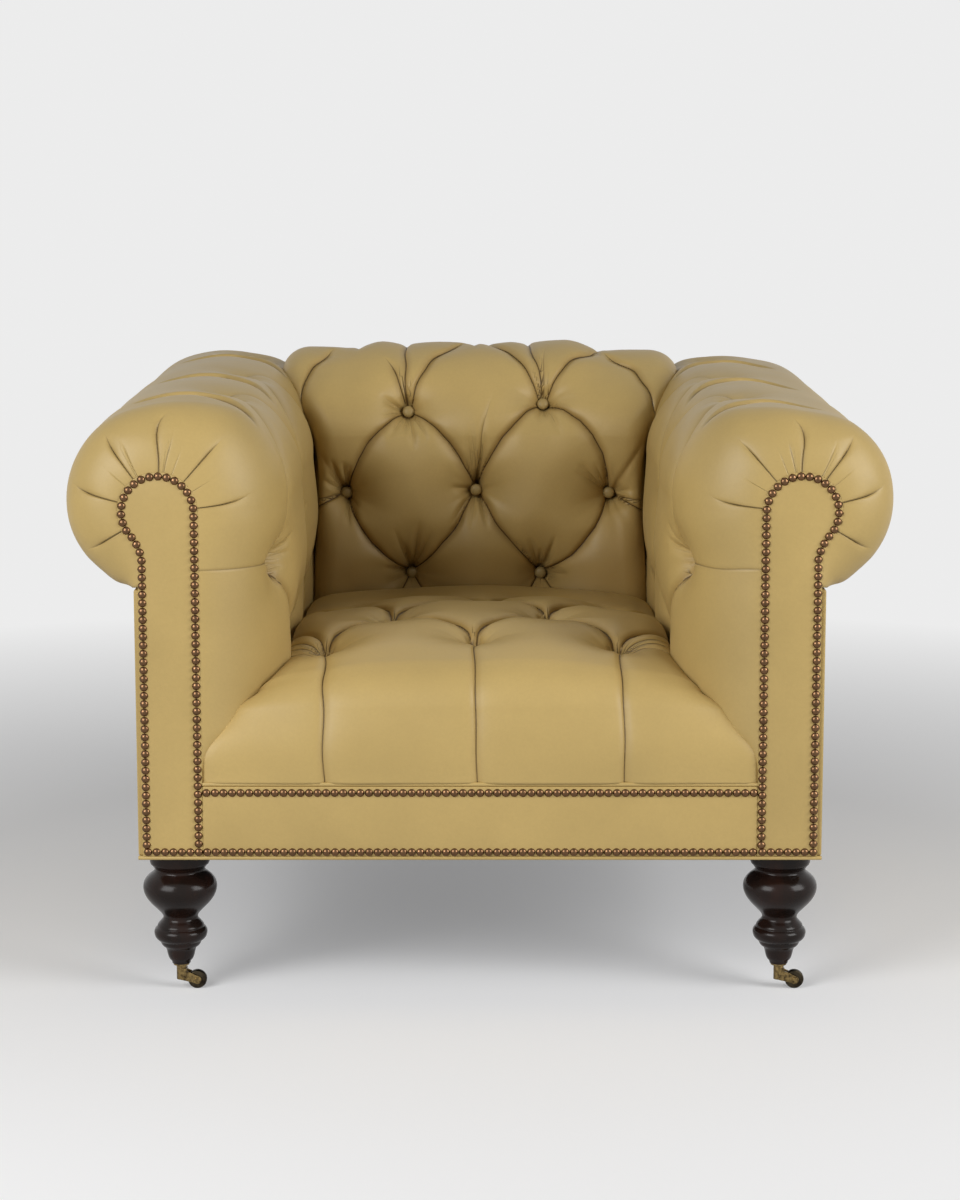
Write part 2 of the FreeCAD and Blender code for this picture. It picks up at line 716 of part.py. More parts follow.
def caster_wheel(label, x, y):
    half = "wheel_width / 2"
    edge = "wheel_radius - wheel_crown"
    bore = "axle_diameter / 2 + running_gap"
    lying("caster_wheel_" + label, [
        ("-(%s)" % half, bore),
        (half, bore),
        (half, edge),
        ("wheel_tread / 2", "wheel_radius"),
        ("-(wheel_tread / 2)", "wheel_radius"),
        ("-(%s)" % half, edge),
    ], x, y)


def caster_axle(label, x, y):
    pin = "axle_diameter / 2"
    head = "axle_head_diameter / 2"
    lying("caster_axle_" + label, [
        ("-(fork_half_width + axle_head_height)", "0"),
        ("fork_half_width + axle_head_height", "0"),
        ("fork_half_width + axle_head_height", head),
        ("fork_half_width", head),
        ("fork_half_width", pin),
        ("-(fork_half_width)", pin),
        ("-(fork_half_width)", head),
        ("-(fork_half_width + axle_head_height)", head),
    ], x, y)


def build_legs_and_casters():
    places = leg_places()
    group("corner_blocks", [corner_block(*place) for place in places])
    group("leg_bolts", [leg_bolt(*place) for place in places])
    group("caster_sockets", [caster_socket(*place) for place in places])
    for place in places:
        turned_leg(*place)
        caster_fork(*place)
        caster_axle(*place)
        caster_wheel(*place)


# Tufted pads: ruled lofts through rows of puffs. In a row of tufts every other gap is a
# flat as wide as a button, and in the next row those flats are the puffs.

NARROW_GAP_SHARE = 3.0
FLAT_RISE_SHARE = 0.06
EDGE_RISE_SHARE = 0.8

# How high the arm's front shoulder stands and how round the leather runs up to it: on the
# two rows beside the seat, and above them.
LOW_SHOULDER_SHARES = (0.8, 0.15)
PLAN_CORNER_SHARE = 0.28
SHOULDER_SHARES = (0.9, 1.0)


def diamond_knots(tufts, half_pitch, flat_half, turn, low, high):
    """Where the pleats cross a row. A turn of 0 is a row with a tuft at each place given,
    and 1 is the next row, whose tufts lie midway between them."""
    knots = []
    spread = flat_half + (half_pitch - 2 * flat_half) * turn
    for place in tufts:
        knots.append(max(place - spread, low))
        knots.append(min(place + spread, high))
    return knots


def arc_middle(start, end, top):
    """Middle of the arc between two points that rises just to a given height."""
    run = end[0] - start[0]
    drop = top - start[1]
    fall = top - end[1]
    peak = run / 2
    if drop != fall:
        slant = math.sqrt(drop * fall * (run * run + (fall - drop) ** 2))
        peak = (slant - run * drop) / (fall - drop)
    radius = (peak * peak / drop + drop) / 2
    height = top - radius + math.sqrt(radius * radius - (run / 2 - peak) ** 2)
    return ((start[0] + end[0]) / 2, height)


def puffs(ends, knots, crest, depth, flat_half, free):
    """Heights of the knots, with the middle of each gap between them. ends are the (place,
    height) at the two edges, crest gives the height at a place, and free marks the knots
    that were held back at an edge, where no pleat runs."""
    points = [ends[0]]
    for knot in knots:
        sink = 0.0 if knot in free else depth
        points.append((knot, crest(knot) - sink))
    points.append(ends[1])
    middles = []
    for start, end in zip(points, points[1:]):
        top = max(start[1], end[1]) + flat_half * FLAT_RISE_SHARE
        if end[0] - start[0] > NARROW_GAP_SHARE * 2 * flat_half:
            top = max(top, crest((start[0] + end[0]) / 2))
        middles.append(arc_middle(start, end, top))
    return points, middles


def rounded_end(end, shoulder, roundness=1.0):
    """Middle of the arc from a row's end to a shoulder. It rises square to the base with a
    roundness of 1, and is nearly straight near 0."""
    run = abs(shoulder[0] - end[0])
    rise = shoulder[1] - end[1]
    radius = (run * run + rise * rise) / (2 * run)
    half_turn = math.atan2(rise, radius - run) / 2
    inward = math.copysign(radius * (1 - math.cos(half_turn)), shoulder[0] - end[0])
    chord = ((end[0] + shoulder[0]) / 2, (end[1] + shoulder[1]) / 2)
    full = (end[0] + inward, end[1] + radius * math.sin(half_turn))
    return tuple(c + (f - c) * roundness for c, f in zip(chord, full))


def row_wire(origin, outward, along, points, middles):
    """One closed section of a pad: puffs outside, straight along its base."""
    def at(place, height):
        return origin + along * place + outward * height
    edges = []
    for i, middle in enumerate(middles):
        edges.append(Part.Arc(at(*points[i]), at(*middle), at(*points[i + 1])).toShape())
    far = at(points[-1][0], 0)
    near = at(points[0][0], 0)
    edges.append(Part.LineSegment(at(*points[-1]), far).toShape())
    edges.append(Part.LineSegment(far, near).toShape())
    edges.append(Part.LineSegment(near, at(*points[0])).toShape())
    return Part.Wire(edges)


# Each row: angle in degrees round the roll from the sitter's side, reach as a share of the
# reach at the top, how far the row has turned from the middle row's tufts, and how much of
# the full tuft depth its pleats have.
ARM_ROLL_SHARES = (
    (28.0, 1.24, 0.57, 0.4),
    (50.0, 1.205, 0.8, 0.42),
    (72.0, 1.05, 1.0, 0.85),
    (92.0, 1.005, 1.0, 0.3),
    (118.0, 0.99, 1.0, 0.2),
    (148.0, 0.975, 1.0, 0.2),
    (180.0, 0.96, 1.0, 0.2),
    (215.0, 0.92, 1.0, 0.2),
)
BACK_ROLL_SHARES = (
    (12.0, 1.34, 1.0, 1.0),
    (30.0, 1.26, 0.78, 0.42),
    (50.0, 1.165, 0.55, 0.4),
    (70.0, 1.075, 0.3, 0.35),
    (92.0, 0.99, 0.0, 0.3),
    (120.0, 0.975, 0.0, 0.2),
    (150.0, 0.955, 0.0, 0.2),
    (180.0, 0.925, 0.0, 0.2),
    (226.0, 0.87, 0.0, 0.2),
)
PLEAT_SHARE = 0.22
HALFWAY_PLEAT_SHARE = 0.4
LAST_ROW_LEAN_SHARE = 0.15
LAST_ROW_LIFT_SHARE = 0.1


def turned_rows(shares, hub_x, hub_z, hub, top_reach):
    """Rows that fan out round a roll: base point, outward direction, thickness, turn, sink.
    Their base points are the corners of a polygon drawn round the roll, so that the straight
    runs between them touch it and don't cut in."""
    rows = []
    touch = 0.0
    for angle, share, turn, sink in shares:
        out = (-math.cos(math.radians(angle)), math.sin(math.radians(angle)))
        foot = hub / math.cos(math.radians(angle - touch))
        touch = 2 * angle - touch
        base = (hub_x + out[0] * foot, hub_z + out[1] * foot)
        rows.append((base, out, top_reach * share - foot, turn, sink))
    return rows


def halfway(first, second):
    """The row midway between two, where the pleats cross from tuft to tuft."""
    base = tuple((a + b) / 2 for a, b in zip(first[0], second[0]))
    out = Vector(*first[1]) + Vector(*second[1])
    out.normalize()
    return (base, (out.x, out.y), (first[2] + second[2]) / 2, (first[3] + second[3]) / 2,
            HALFWAY_PLEAT_SHARE)


def with_halfway_rows(rows, last):
    """Rows with one added after each from the second to the last one named."""
    full = rows[:1]
    for i in range(1, last + 1):
        full += [rows[i], halfway(rows[i], rows[i + 1])]
    return full + rows[last + 1:]


def arm_rows():
    """The rows of the arm pad on the +X side, from its foot by the seat, up its inner face
    and over the roll to the outside panel. The base points run across the chair."""
    inner = size("pad_inner_x")
    sitter = (-1.0, 0.0)
    low = size("arm_low_thickness")
    rows = [
        ((inner, size("seat_foot")), sitter, low, 1.0, PLEAT_SHARE),
        ((inner, size("arm_low_row")), sitter, low, 1.0, 1.0),
        ((inner, size("arm_mid_row")), sitter, size("arm_pad_thickness"), 0.0, 1.0),
    ]
    rows += turned_rows(ARM_ROLL_SHARES, size("scroll_x"), size("scroll_height"),
                        size("scroll_radius + soft_gap"), size("arm_top_reach"))
    last_z = size("scroll_height - neck_drop * (1 - %s)" % LAST_ROW_LIFT_SHARE)
    drop = last_z - size("outer_panel_top + 2 * pad_gap")
    rows.append(((size("outer_x + soft_gap"), last_z), (LAST_ROW_LEAN_SHARE, -1.0), drop,
                 1.0, PLEAT_SHARE))
    return with_halfway_rows(rows, 2)


FIRST_ROLL_ROW = 5


def arm_pad(side):
    front = size("pad_front_y")
    pillow = size("arm_pillow_depth")
    pitch = size("arm_tuft_pitch")
    flat = size("blind_tuft_half")
    depth = size("arm_tuft_depth")
    tip = size("pad_gap")
    first = size("front_y + arm_first_tuft")
    tufts = [first, first + pitch, first + 2 * pitch]
    low = tufts[0] - 2 * flat
    wires = []
    for i, (base, out, thick, turn, sink) in enumerate(arm_rows()):
        on_roll = i >= FIRST_ROLL_ROW
        rear = size("arm_rear_y") if on_roll else size("back_base_y - roll_clearance")
        high = rear - 2 * flat
        knots = diamond_knots(tufts, pitch / 2, flat, turn, low, high)
        rise, roundness = SHOULDER_SHARES if i > 1 else LOW_SHOULDER_SHARES
        ends = ((front + pillow, thick * rise), (rear, tip if on_roll else thick))
        points, middles = puffs(ends, knots, lambda place: thick, depth * sink, flat,
                                (low, high))
        points.insert(0, (front, tip))
        middles.insert(0, rounded_end(points[0], points[1], roundness))
        if on_roll:
            middles[-1] = rounded_end(points[-1], points[-2])
        wires.append(row_wire(Vector(side * base[0], 0, base[1]),
                              Vector(side * out[0], 0, out[1]), Vector(0, 1, 0),
                              points, middles))
    return Part.makeLoft(wires, True, True)


def arm_outline_block(side):
    """The room an arm takes, seen from the front, with the clearance round it."""
    gap = size("pad_gap + soft_gap")
    corners = []
    for base, out, thick, turn, sink in arm_rows():
        corners.append((base[0] + out[0] * (thick + gap), base[1] + out[1] * (thick + gap)))
    corners.insert(0, (corners[0][0], size("frame_bottom")))
    points = [Vector(side * x, size("front_y"), z) for x, z in corners]
    face = Part.Face(Part.makePolygon(points + points[:1]))
    return face.extrude(Vector(0, size("chair_depth + panel_thickness"), 0))


def arm_plan_block(side):
    """The room an arm takes beside the seat, seen from above, with the clearance round it."""
    gap = size("pad_gap + soft_gap")
    inner = size("pad_inner_x")
    front = size("front_y") - gap
    pillow = size("pad_front_y + arm_pillow_depth")
    thick = size("arm_low_thickness")
    full = size("front_y + arm_first_tuft - 2 * blind_tuft_half")
    rear = size("rear_y")
    end = (front, size("pad_gap"))
    rise, roundness = LOW_SHOULDER_SHARES
    shoulder = (pillow, thick * rise + gap)
    middle = rounded_end(end, shoulder, roundness)

    def at(place, height):
        return Vector(side * (inner - height), place, size("frame_bottom"))

    edges = [Part.Arc(at(*end), at(*middle), at(*shoulder)).toShape()]
    corner = pillow + (full - pillow) * PLAN_CORNER_SHARE
    corners = [shoulder, (corner, thick + gap), (rear, thick + gap), (rear, -thick),
               (front, -thick), end]
    for start, stop in zip(corners, corners[1:]):
        edges.append(Part.LineSegment(at(*start), at(*stop)).toShape())
    face = Part.Face(Part.Wire(edges))
    return face.extrude(Vector(0, 0, size("chair_height")))


def back_rows():
    base_y = size("back_base_y")
    sitter = (-1.0, 0.0)
    full = size("back_pad_thickness")
    rows = [
        ((base_y, size("seat_foot + tack_rail_lift")), sitter,
         full - size("2 * tack_rail_lift"), 1.0, PLEAT_SHARE),
        ((base_y, size("back_low_row")), sitter, full - size("button_height / 2"), 1.0, 1.0),
        ((base_y, size("back_mid_row")), sitter, full, 0.0, 1.0),
    ]
    rows += turned_rows(BACK_ROLL_SHARES, size("back_roll_centre_y"),
                        size("back_roll_centre_height"), size("back_core_radius"),
                        size("back_top_reach"))
    return with_halfway_rows(rows, 2)


# The rows that carry buttons, with the buttons' places as shares of their pitch.
BUTTON_ROW_SHARES = ((1, (-0.5, 0.5)), (3, (-1.0, 0.0, 1.0)), (5, (-0.5, 0.5)))


def back_pad():
    """The padded back with a flat-bottomed pocket for each button."""
    flat = size("button_flat_half")
    pitch = size("button_pitch")
    depth = size("back_tuft_depth")
    half = size("back_top_half")
    tufts = [-pitch, 0.0, pitch]
    low = 2 * flat - half
    rows = back_rows()
    wires = []
    for base, out, thick, turn, sink in rows:
        knots = diamond_knots(tufts, pitch / 2, flat, turn, low, -low)
        edge = thick * EDGE_RISE_SHARE
        points, middles = puffs(((-half, edge), (half, edge)), knots, lambda place: thick,
                                depth * sink, flat, (low, -low))
        wires.append(row_wire(Vector(0, base[0], base[1]), Vector(0, out[0], out[1]),
                              Vector(1, 0, 0), points, middles))
    pad = Part.makeLoft(wires, True, True)
    pad = pad.cut([arm_outline_block(side) for word, side in SIDES])
    pockets = []
    for row, places in BUTTON_ROW_SHARES:
        base, out, thick = rows[row][:3]
        outward = Vector(0, out[0], out[1])
        floor = Vector(0, base[0], base[1]) + outward * (thick - depth)
        for place in places:
            pockets.append(Part.makeCylinder(flat, 2 * depth, floor + Vector(place * pitch, 0, 0),
                                             outward))
    return pad.cut(pockets)


BUTTON_RIM_SHARE = 0.35
BUTTON_SHOULDER_SHARES = (0.75, 0.8)
BUTTON_CROWN_SHARE = 0.2


def build_back_buttons():
    """Leather-covered domes, each turned and set square to the pad."""
    buttons = []
    rows = back_rows()
    for row, places in BUTTON_ROW_SHARES:
        base, out, thick = rows[row][:3]
        rise = thick - size("back_tuft_depth - soft_gap")
        tilt = FreeCAD.Rotation(Vector(0, 0, 1), Vector(0, out[0], out[1]))
        for place in places:
            shoulder = ("button_diameter / 2 * %s" % BUTTON_SHOULDER_SHARES[0],
                        "button_height * %s" % BUTTON_SHOULDER_SHARES[1])
            button = turned("back_button_%d" % len(buttons), [
                ("0", "0"),
                ("button_diameter / 2", "0"),
                ("button_diameter / 2", "button_height * %s" % BUTTON_RIM_SHARE) + shoulder,
                ("button_diameter / 2 * %s" % BUTTON_CROWN_SHARE, "button_height"),
                ("0", "button_height"),
            ], "button_pitch * %s" % place, "0")
            button.Placement = FreeCAD.Placement(
                Vector(place * size("button_pitch"), base[0] + out[0] * rise,
                       base[1] + out[1] * rise), tilt)
            button.setExpression("Placement.Base.y", None)
            buttons.append(button)
    group("back_buttons", buttons)


# The seat's rows: the front ones as shares of the way up its front, the others one row
# pitch apart. Then thickness as a share of the full one, turn, sink, and how much of the
# crown's fall to the sides the row has.
SEAT_FRONT_SHARES = ((0.0, 0.96, 0.1), (0.5, 0.97, 0.12))
SEAT_LIP_SHARES = (0.97, 0.7, 0.5)
SEAT_TOP_SHARES = (
    (0.0, 0.88, 0.0, 0.95, 0.9),
    (1.0, 0.99, 1.0, 1.0, 1.0),
    (2.0, 1.0, 0.0, 1.0, 1.0),
    (3.0, 0.85, 1.0, 1.0, 0.8),
)
SEAT_REAR_SHARES = (0.7, 0.5, 0.4, 0.6)


def seat_rows():
    base_y = size("seat_base_y")
    base_z = size("seat_base")
    foot = size("seat_foot")
    front = size("seat_front_thickness")
    full = size("seat_pad_thickness")
    rows = []
    for way, share, fall in SEAT_FRONT_SHARES:
        rows.append(((base_y, foot + (base_z - foot) * way), (-1.0, 0.0), front * share,
                     0.0, PLEAT_SHARE, fall))
    share, sink, fall = SEAT_LIP_SHARES
    rows.append(((base_y, base_z), (-DIAGONAL_SHARE, DIAGONAL_SHARE), front * share,
                 0.0, sink, fall))
    for step, share, turn, sink, fall in SEAT_TOP_SHARES:
        place = size("seat_top_y") + step * size("seat_row_pitch")
        rows.append(((place, base_z), (0.0, 1.0), full * share, turn, sink, fall))
    share, turn, sink, fall = SEAT_REAR_SHARES
    rows.append(((size("seat_rear_y"), base_z), (0.0, 1.0), full * share, turn, sink, fall))
    return rows


def seat_pad():
    half = size("stem_inner_x - 2 * pad_gap")
    pitch = size("seat_tuft_pitch")
    flat = size("blind_tuft_half")
    depth = size("seat_tuft_depth")
    crown = size("seat_crown")
    tufts = [-pitch, 0.0, pitch]
    low = 2 * flat - half
    wires = []
    for base, out, thick, turn, sink, fall in seat_rows():
        def crest(place):
            return thick - crown * fall * (place / half) ** 2
        knots = diamond_knots(tufts, pitch / 2, flat, turn, low, -low)
        points, middles = puffs(((-half, crest(half)), (half, crest(half))), knots, crest,
                                depth * sink, flat, (low, -low))
        wires.append(row_wire(Vector(0, base[0], base[1]), Vector(0, out[0], out[1]),
                              Vector(1, 0, 0), points, middles))
    pad = Part.makeLoft(wires, True, True)
    return pad.cut([arm_plan_block(side) for word, side in SIDES])


def build_pads():
    for word, side in SIDES:
        plain("arm_pad_" + word, arm_pad(side))
    plain("back_pad", back_pad())
    plain("seat_pad", seat_pad())


def write_parts():
    DOC.recompute()
    for thing in DOC.Objects:
        for fault in ("Invalid", "Error"):
            if fault in thing.State:
                raise RuntimeError("%s is %s" % (thing.Label, fault))
    for piece in PARTS:
        if piece.Shape.isNull() or not piece.Shape.isValid():
            raise RuntimeError("%s has no valid shape" % piece.Label)
    os.makedirs("parts", exist_ok=True)
    for piece in PARTS:
        piece.Shape.exportStep("parts/%s.step" % piece.Label)


build_frame()
build_arm_fronts_and_cores()
build_panels()
build_seat_support()
build_legs_and_casters()
build_pads()
build_back_buttons()
write_parts()
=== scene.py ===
import json
import math
from contextlib import contextmanager

import bmesh
import bpy
import numpy as np
from bpy.props import FloatProperty, FloatVectorProperty, IntProperty, PointerProperty
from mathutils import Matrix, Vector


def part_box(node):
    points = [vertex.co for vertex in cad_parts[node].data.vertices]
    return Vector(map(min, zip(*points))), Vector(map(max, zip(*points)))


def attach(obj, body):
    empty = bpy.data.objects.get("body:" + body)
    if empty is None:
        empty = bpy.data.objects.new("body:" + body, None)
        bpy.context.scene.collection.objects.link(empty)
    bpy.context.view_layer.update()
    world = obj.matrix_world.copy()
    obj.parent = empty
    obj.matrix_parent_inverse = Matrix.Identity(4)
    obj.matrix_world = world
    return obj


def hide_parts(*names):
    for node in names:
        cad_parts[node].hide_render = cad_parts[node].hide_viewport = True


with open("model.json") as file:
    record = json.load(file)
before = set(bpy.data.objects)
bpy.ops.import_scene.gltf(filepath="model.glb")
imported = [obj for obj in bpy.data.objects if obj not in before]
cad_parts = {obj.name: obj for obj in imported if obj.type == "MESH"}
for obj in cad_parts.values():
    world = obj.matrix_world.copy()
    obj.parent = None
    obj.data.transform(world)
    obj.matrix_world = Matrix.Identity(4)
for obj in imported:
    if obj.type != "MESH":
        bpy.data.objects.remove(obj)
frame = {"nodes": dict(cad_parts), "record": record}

bl_info = {
    "name": "Tufted Club Chair",
    "version": (1, 0, 0),
    "blender": (4, 5, 0),
    "location": "View3D > Sidebar > Chair",
    "description": "Leather, nails, turned legs and casters over the chair's frame",
    "category": "Object",
}


# Places that follow from the frame, in metres

(_, FRONT_Y, FRAME_BOTTOM), (_, _, FRAME_TOP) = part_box("front_border_panel")
OUTER_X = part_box("outside_arm_panel_right")[1][0]
STEM_INNER_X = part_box("arm_front_panel_right")[0][0]
BODY_REAR_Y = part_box("outside_back_panel")[1][1]
SCROLL_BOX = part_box("rear_scroll_facing_right")
SCROLL_X = (SCROLL_BOX[0][0] + SCROLL_BOX[1][0]) / 2
SCROLL_Z = (SCROLL_BOX[0][2] + SCROLL_BOX[1][2]) / 2
SCROLL_RADIUS = (SCROLL_BOX[1][0] - SCROLL_BOX[0][0]) / 2
ARM_REAR_Y = SCROLL_BOX[0][1]
BACK_BASE_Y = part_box("back_liner")[0][1]
BACK_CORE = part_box("back_roll_core")
BACK_ROLL_Y = (BACK_CORE[0][1] + BACK_CORE[1][1]) / 2
BACK_ROLL_RADIUS = (BACK_CORE[1][1] - BACK_CORE[0][1]) / 2
BACK_ROLL_Z = BACK_CORE[1][2] - BACK_ROLL_RADIUS
(_, SEAT_BASE_Y, _), (_, SEAT_REAR_Y, SEAT_BASE_Z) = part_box("seat_foam_core")
ARM_ROLL = ((SCROLL_X, SCROLL_Z), SCROLL_RADIUS)
BACK_ROLL = ((BACK_ROLL_Y, BACK_ROLL_Z), BACK_ROLL_RADIUS)
SIDES = {"left": -1.0, "right": 1.0}
CORNERS = ("front_left", "front_right", "rear_left", "rear_right")
CHAIR = "chair"

# Small sizes, in metres. The back panel's top edge is tucked up under the roll, and the
# outside arm panels' inner faces lie where no gap shows behind the front panels.

PAD_SEAM = 0.0004
CAMBRIC_THICKNESS = 0.0010
BACK_PANEL_TUCK = 0.021
BACK_PANEL_TOP = 0.002
OUTSIDE_PANEL_DEPTH = 0.0035
OUTSIDE_PANEL_INNER_X = OUTER_X - 0.0068
NAIL_SEAT = 0.0006
TOP_NAILS_Z = FRAME_TOP - 0.0080

# One nailhead's mesh, and how far it may lean or turn, in radians

NAIL_SEGMENTS = 16
NAIL_RINGS = 8
NAIL_TILT = (0.07, 0.4, 0.07)


def metres(name, description, default, low, high):
    return FloatProperty(name=name, description=description, default=default, min=low, max=high,
                         unit="LENGTH")


def tint(name, description, default):
    return FloatVectorProperty(name=name, description=description, default=default, size=3,
                               min=0.0, max=1.0, subtype="COLOR")


class ChairSizes(bpy.types.PropertyGroup):
    """Sizes and colours a user would change."""
    nail_pitch: metres("Nail pitch", "Distance between neighbouring nailheads",
                       0.0111, 0.008, 0.03)
    nail_diameter: metres("Nail diameter", "Width of one nailhead", 0.0110, 0.004, 0.02)
    nail_height: metres("Nail height", "How far a nailhead stands off the leather",
                        0.0042, 0.001, 0.01)
    nail_inset: metres("Nail inset", "From a panel's edge to the middle of its nails",
                       0.0054, 0.002, 0.03)
    pad_step: metres("Pad mesh step", "Distance between points of the tufted leather",
                     0.0028, 0.002, 0.02)
    leather_colour: tint("Leather colour", "Colour of the lit leather", (0.50, 0.355, 0.130))
    # Painted shade: the darker colour laid into folds, pleats, tuft pits and over the low back.
    fold_shade_colour: tint("Fold colour", "Colour of the leather down in the folds",
                      (0.30, 0.185, 0.055))
    leg_colour: tint("Leg colour", "Colour of the ebonised legs", (0.010, 0.006, 0.0045))
    nail_colour: tint("Nail colour", "Colour of the bronzed nailheads", (0.150, 0.083, 0.042))
    leg_sides: IntProperty(name="Leg facets", description="Facets round a turned leg",
                           default=72, min=24, max=128)


def sizes():
    return bpy.context.scene.chair_sizes


# Meshes

MERGE = 1e-6
FRAME_MERGE = 2e-6
FLAT = math.radians(0.5)
FACING = 0.9
EDGE_ANGLE = 35.0
WELT_ANGLE = 50.0


def new_object(name, vertices, faces):
    mesh = bpy.data.meshes.new(name)
    mesh.from_pydata([tuple(map(float, v)) for v in vertices], [], faces)
    mesh.validate()
    mesh.polygons.foreach_set("use_smooth", [True] * len(mesh.polygons))
    mesh.update()
    return placed(name, mesh)


@contextmanager
def edited(mesh):
    """A mesh opened for changes, which are written back at the end."""
    work = bmesh.new()
    work.from_mesh(mesh)
    yield work
    work.to_mesh(mesh)
    work.free()
    mesh.update()


def turn_outwards(thing, merge=0.0):
    """Turn every face of a closed shell outwards, once doubles this near are merged."""
    with edited(thing.data) as work:
        if merge:
            bmesh.ops.remove_doubles(work, verts=work.verts, dist=merge)
        bmesh.ops.recalc_face_normals(work, faces=work.faces)


def placed(name, data):
    """A new object in the scene."""
    thing = bpy.data.objects.new(name, data)
    bpy.context.collection.objects.link(thing)
    return thing


def finish_piece(thing, material, body, slot, *nodes):
    """Material, body and the frame's pieces that this one stands for. slot is not used."""
    thing.data.materials.clear()
    thing.data.materials.append(material)
    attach(thing, body)
    if nodes:
        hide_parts(*nodes)
    return thing


def through(points, at):
    """A smooth curve through (place, value) pairs, read at the places given."""
    x = np.array([p[0] for p in points], float)
    y = np.array([p[1] for p in points], float)
    slope = np.gradient(y, x)
    i = np.clip(np.searchsorted(x, at) - 1, 0, len(x) - 2)
    span = x[i + 1] - x[i]
    t = np.clip((at - x[i]) / span, 0.0, 1.0)
    return ((2 * t**3 - 3 * t**2 + 1) * y[i] + (t**3 - 2 * t**2 + t) * span * slope[i]
            + (3 * t**2 - 2 * t**3) * y[i + 1] + (t**3 - t**2) * span * slope[i + 1])


def smoothstep(low, high, value):
    t = np.clip((value - low) / (high - low), 0.0, 1.0)
    return t * t * (3 - 2 * t)


def waves(u, v, scale, seed):
    """Soft noise from a few crossed waves, about -1 to 1."""
    pick = np.random.default_rng(seed)
    total = np.zeros_like(u)
    for _ in range(7):
        angle = pick.uniform(0, math.tau)
        length = scale * pick.uniform(0.6, 1.7)
        total += np.sin((u * math.cos(angle) + v * math.sin(angle)) * math.tau / length
                        + pick.uniform(0, math.tau))
    return total / 3.2


# Tufted leather as a height over its foundation

FRONT_RINGS = 44
REAR_RINGS = 30
SIDE_RINGS = 26
BLEND_POWER = 4.0
NO_CREASE = 0.05
WANDER = 0.0012
WANDER_SCALE = 0.07


def along_path(u, v, path):
    """Distance to a path, how far along it the nearest point lies, and on which side."""
    nearest = np.full(u.shape, 9.0)
    place = np.zeros(u.shape)
    side = np.ones(u.shape)
    steps = [math.dist(a, b) for a, b in zip(path, path[1:])]
    whole = sum(steps)
    gone = 0.0
    for (a, b), step in zip(zip(path, path[1:]), steps):
        du, dv = b[0] - a[0], b[1] - a[1]
        t = np.clip(((u - a[0]) * du + (v - a[1]) * dv) / (step * step), 0.0, 1.0)
        off_u = u - a[0] - t * du
        off_v = v - a[1] - t * dv
        distance = np.hypot(off_u, off_v)
        closer = distance < nearest
        nearest = np.where(closer, distance, nearest)
        place = np.where(closer, (gone + t * step) / whole, place)
        side = np.where(closer, np.sign(off_u * dv - off_v * du + 1e-12), side)
        gone += step
    return nearest, place, side


def bowed(start, end, bow):
    """A path of a few straight steps that bows sideways by a share of its length."""
    du, dv = end[0] - start[0], end[1] - start[1]
    path = []
    for i in range(7):
        t = i / 6
        lift = bow * 4 * t * (1 - t)
        path.append((start[0] + du * t - dv * lift, start[1] + dv * t + du * lift))
    return path


def track(rows, at):
    """A smooth path through rows of (place, across, up), read at the places given."""
    return np.stack([through([(row[0], row[k]) for row in rows], at) for k in (1, 2)], axis=1)


def curved(points, count=18):
    """A smooth path through places on the leather."""
    gone = [0.0]
    for a, b in zip(points, points[1:]):
        gone.append(gone[-1] + math.dist(a, b))
    rows = [(g, *point) for g, point in zip(gone, points)]
    return list(map(tuple, track(rows, np.linspace(0, gone[-1], count))))


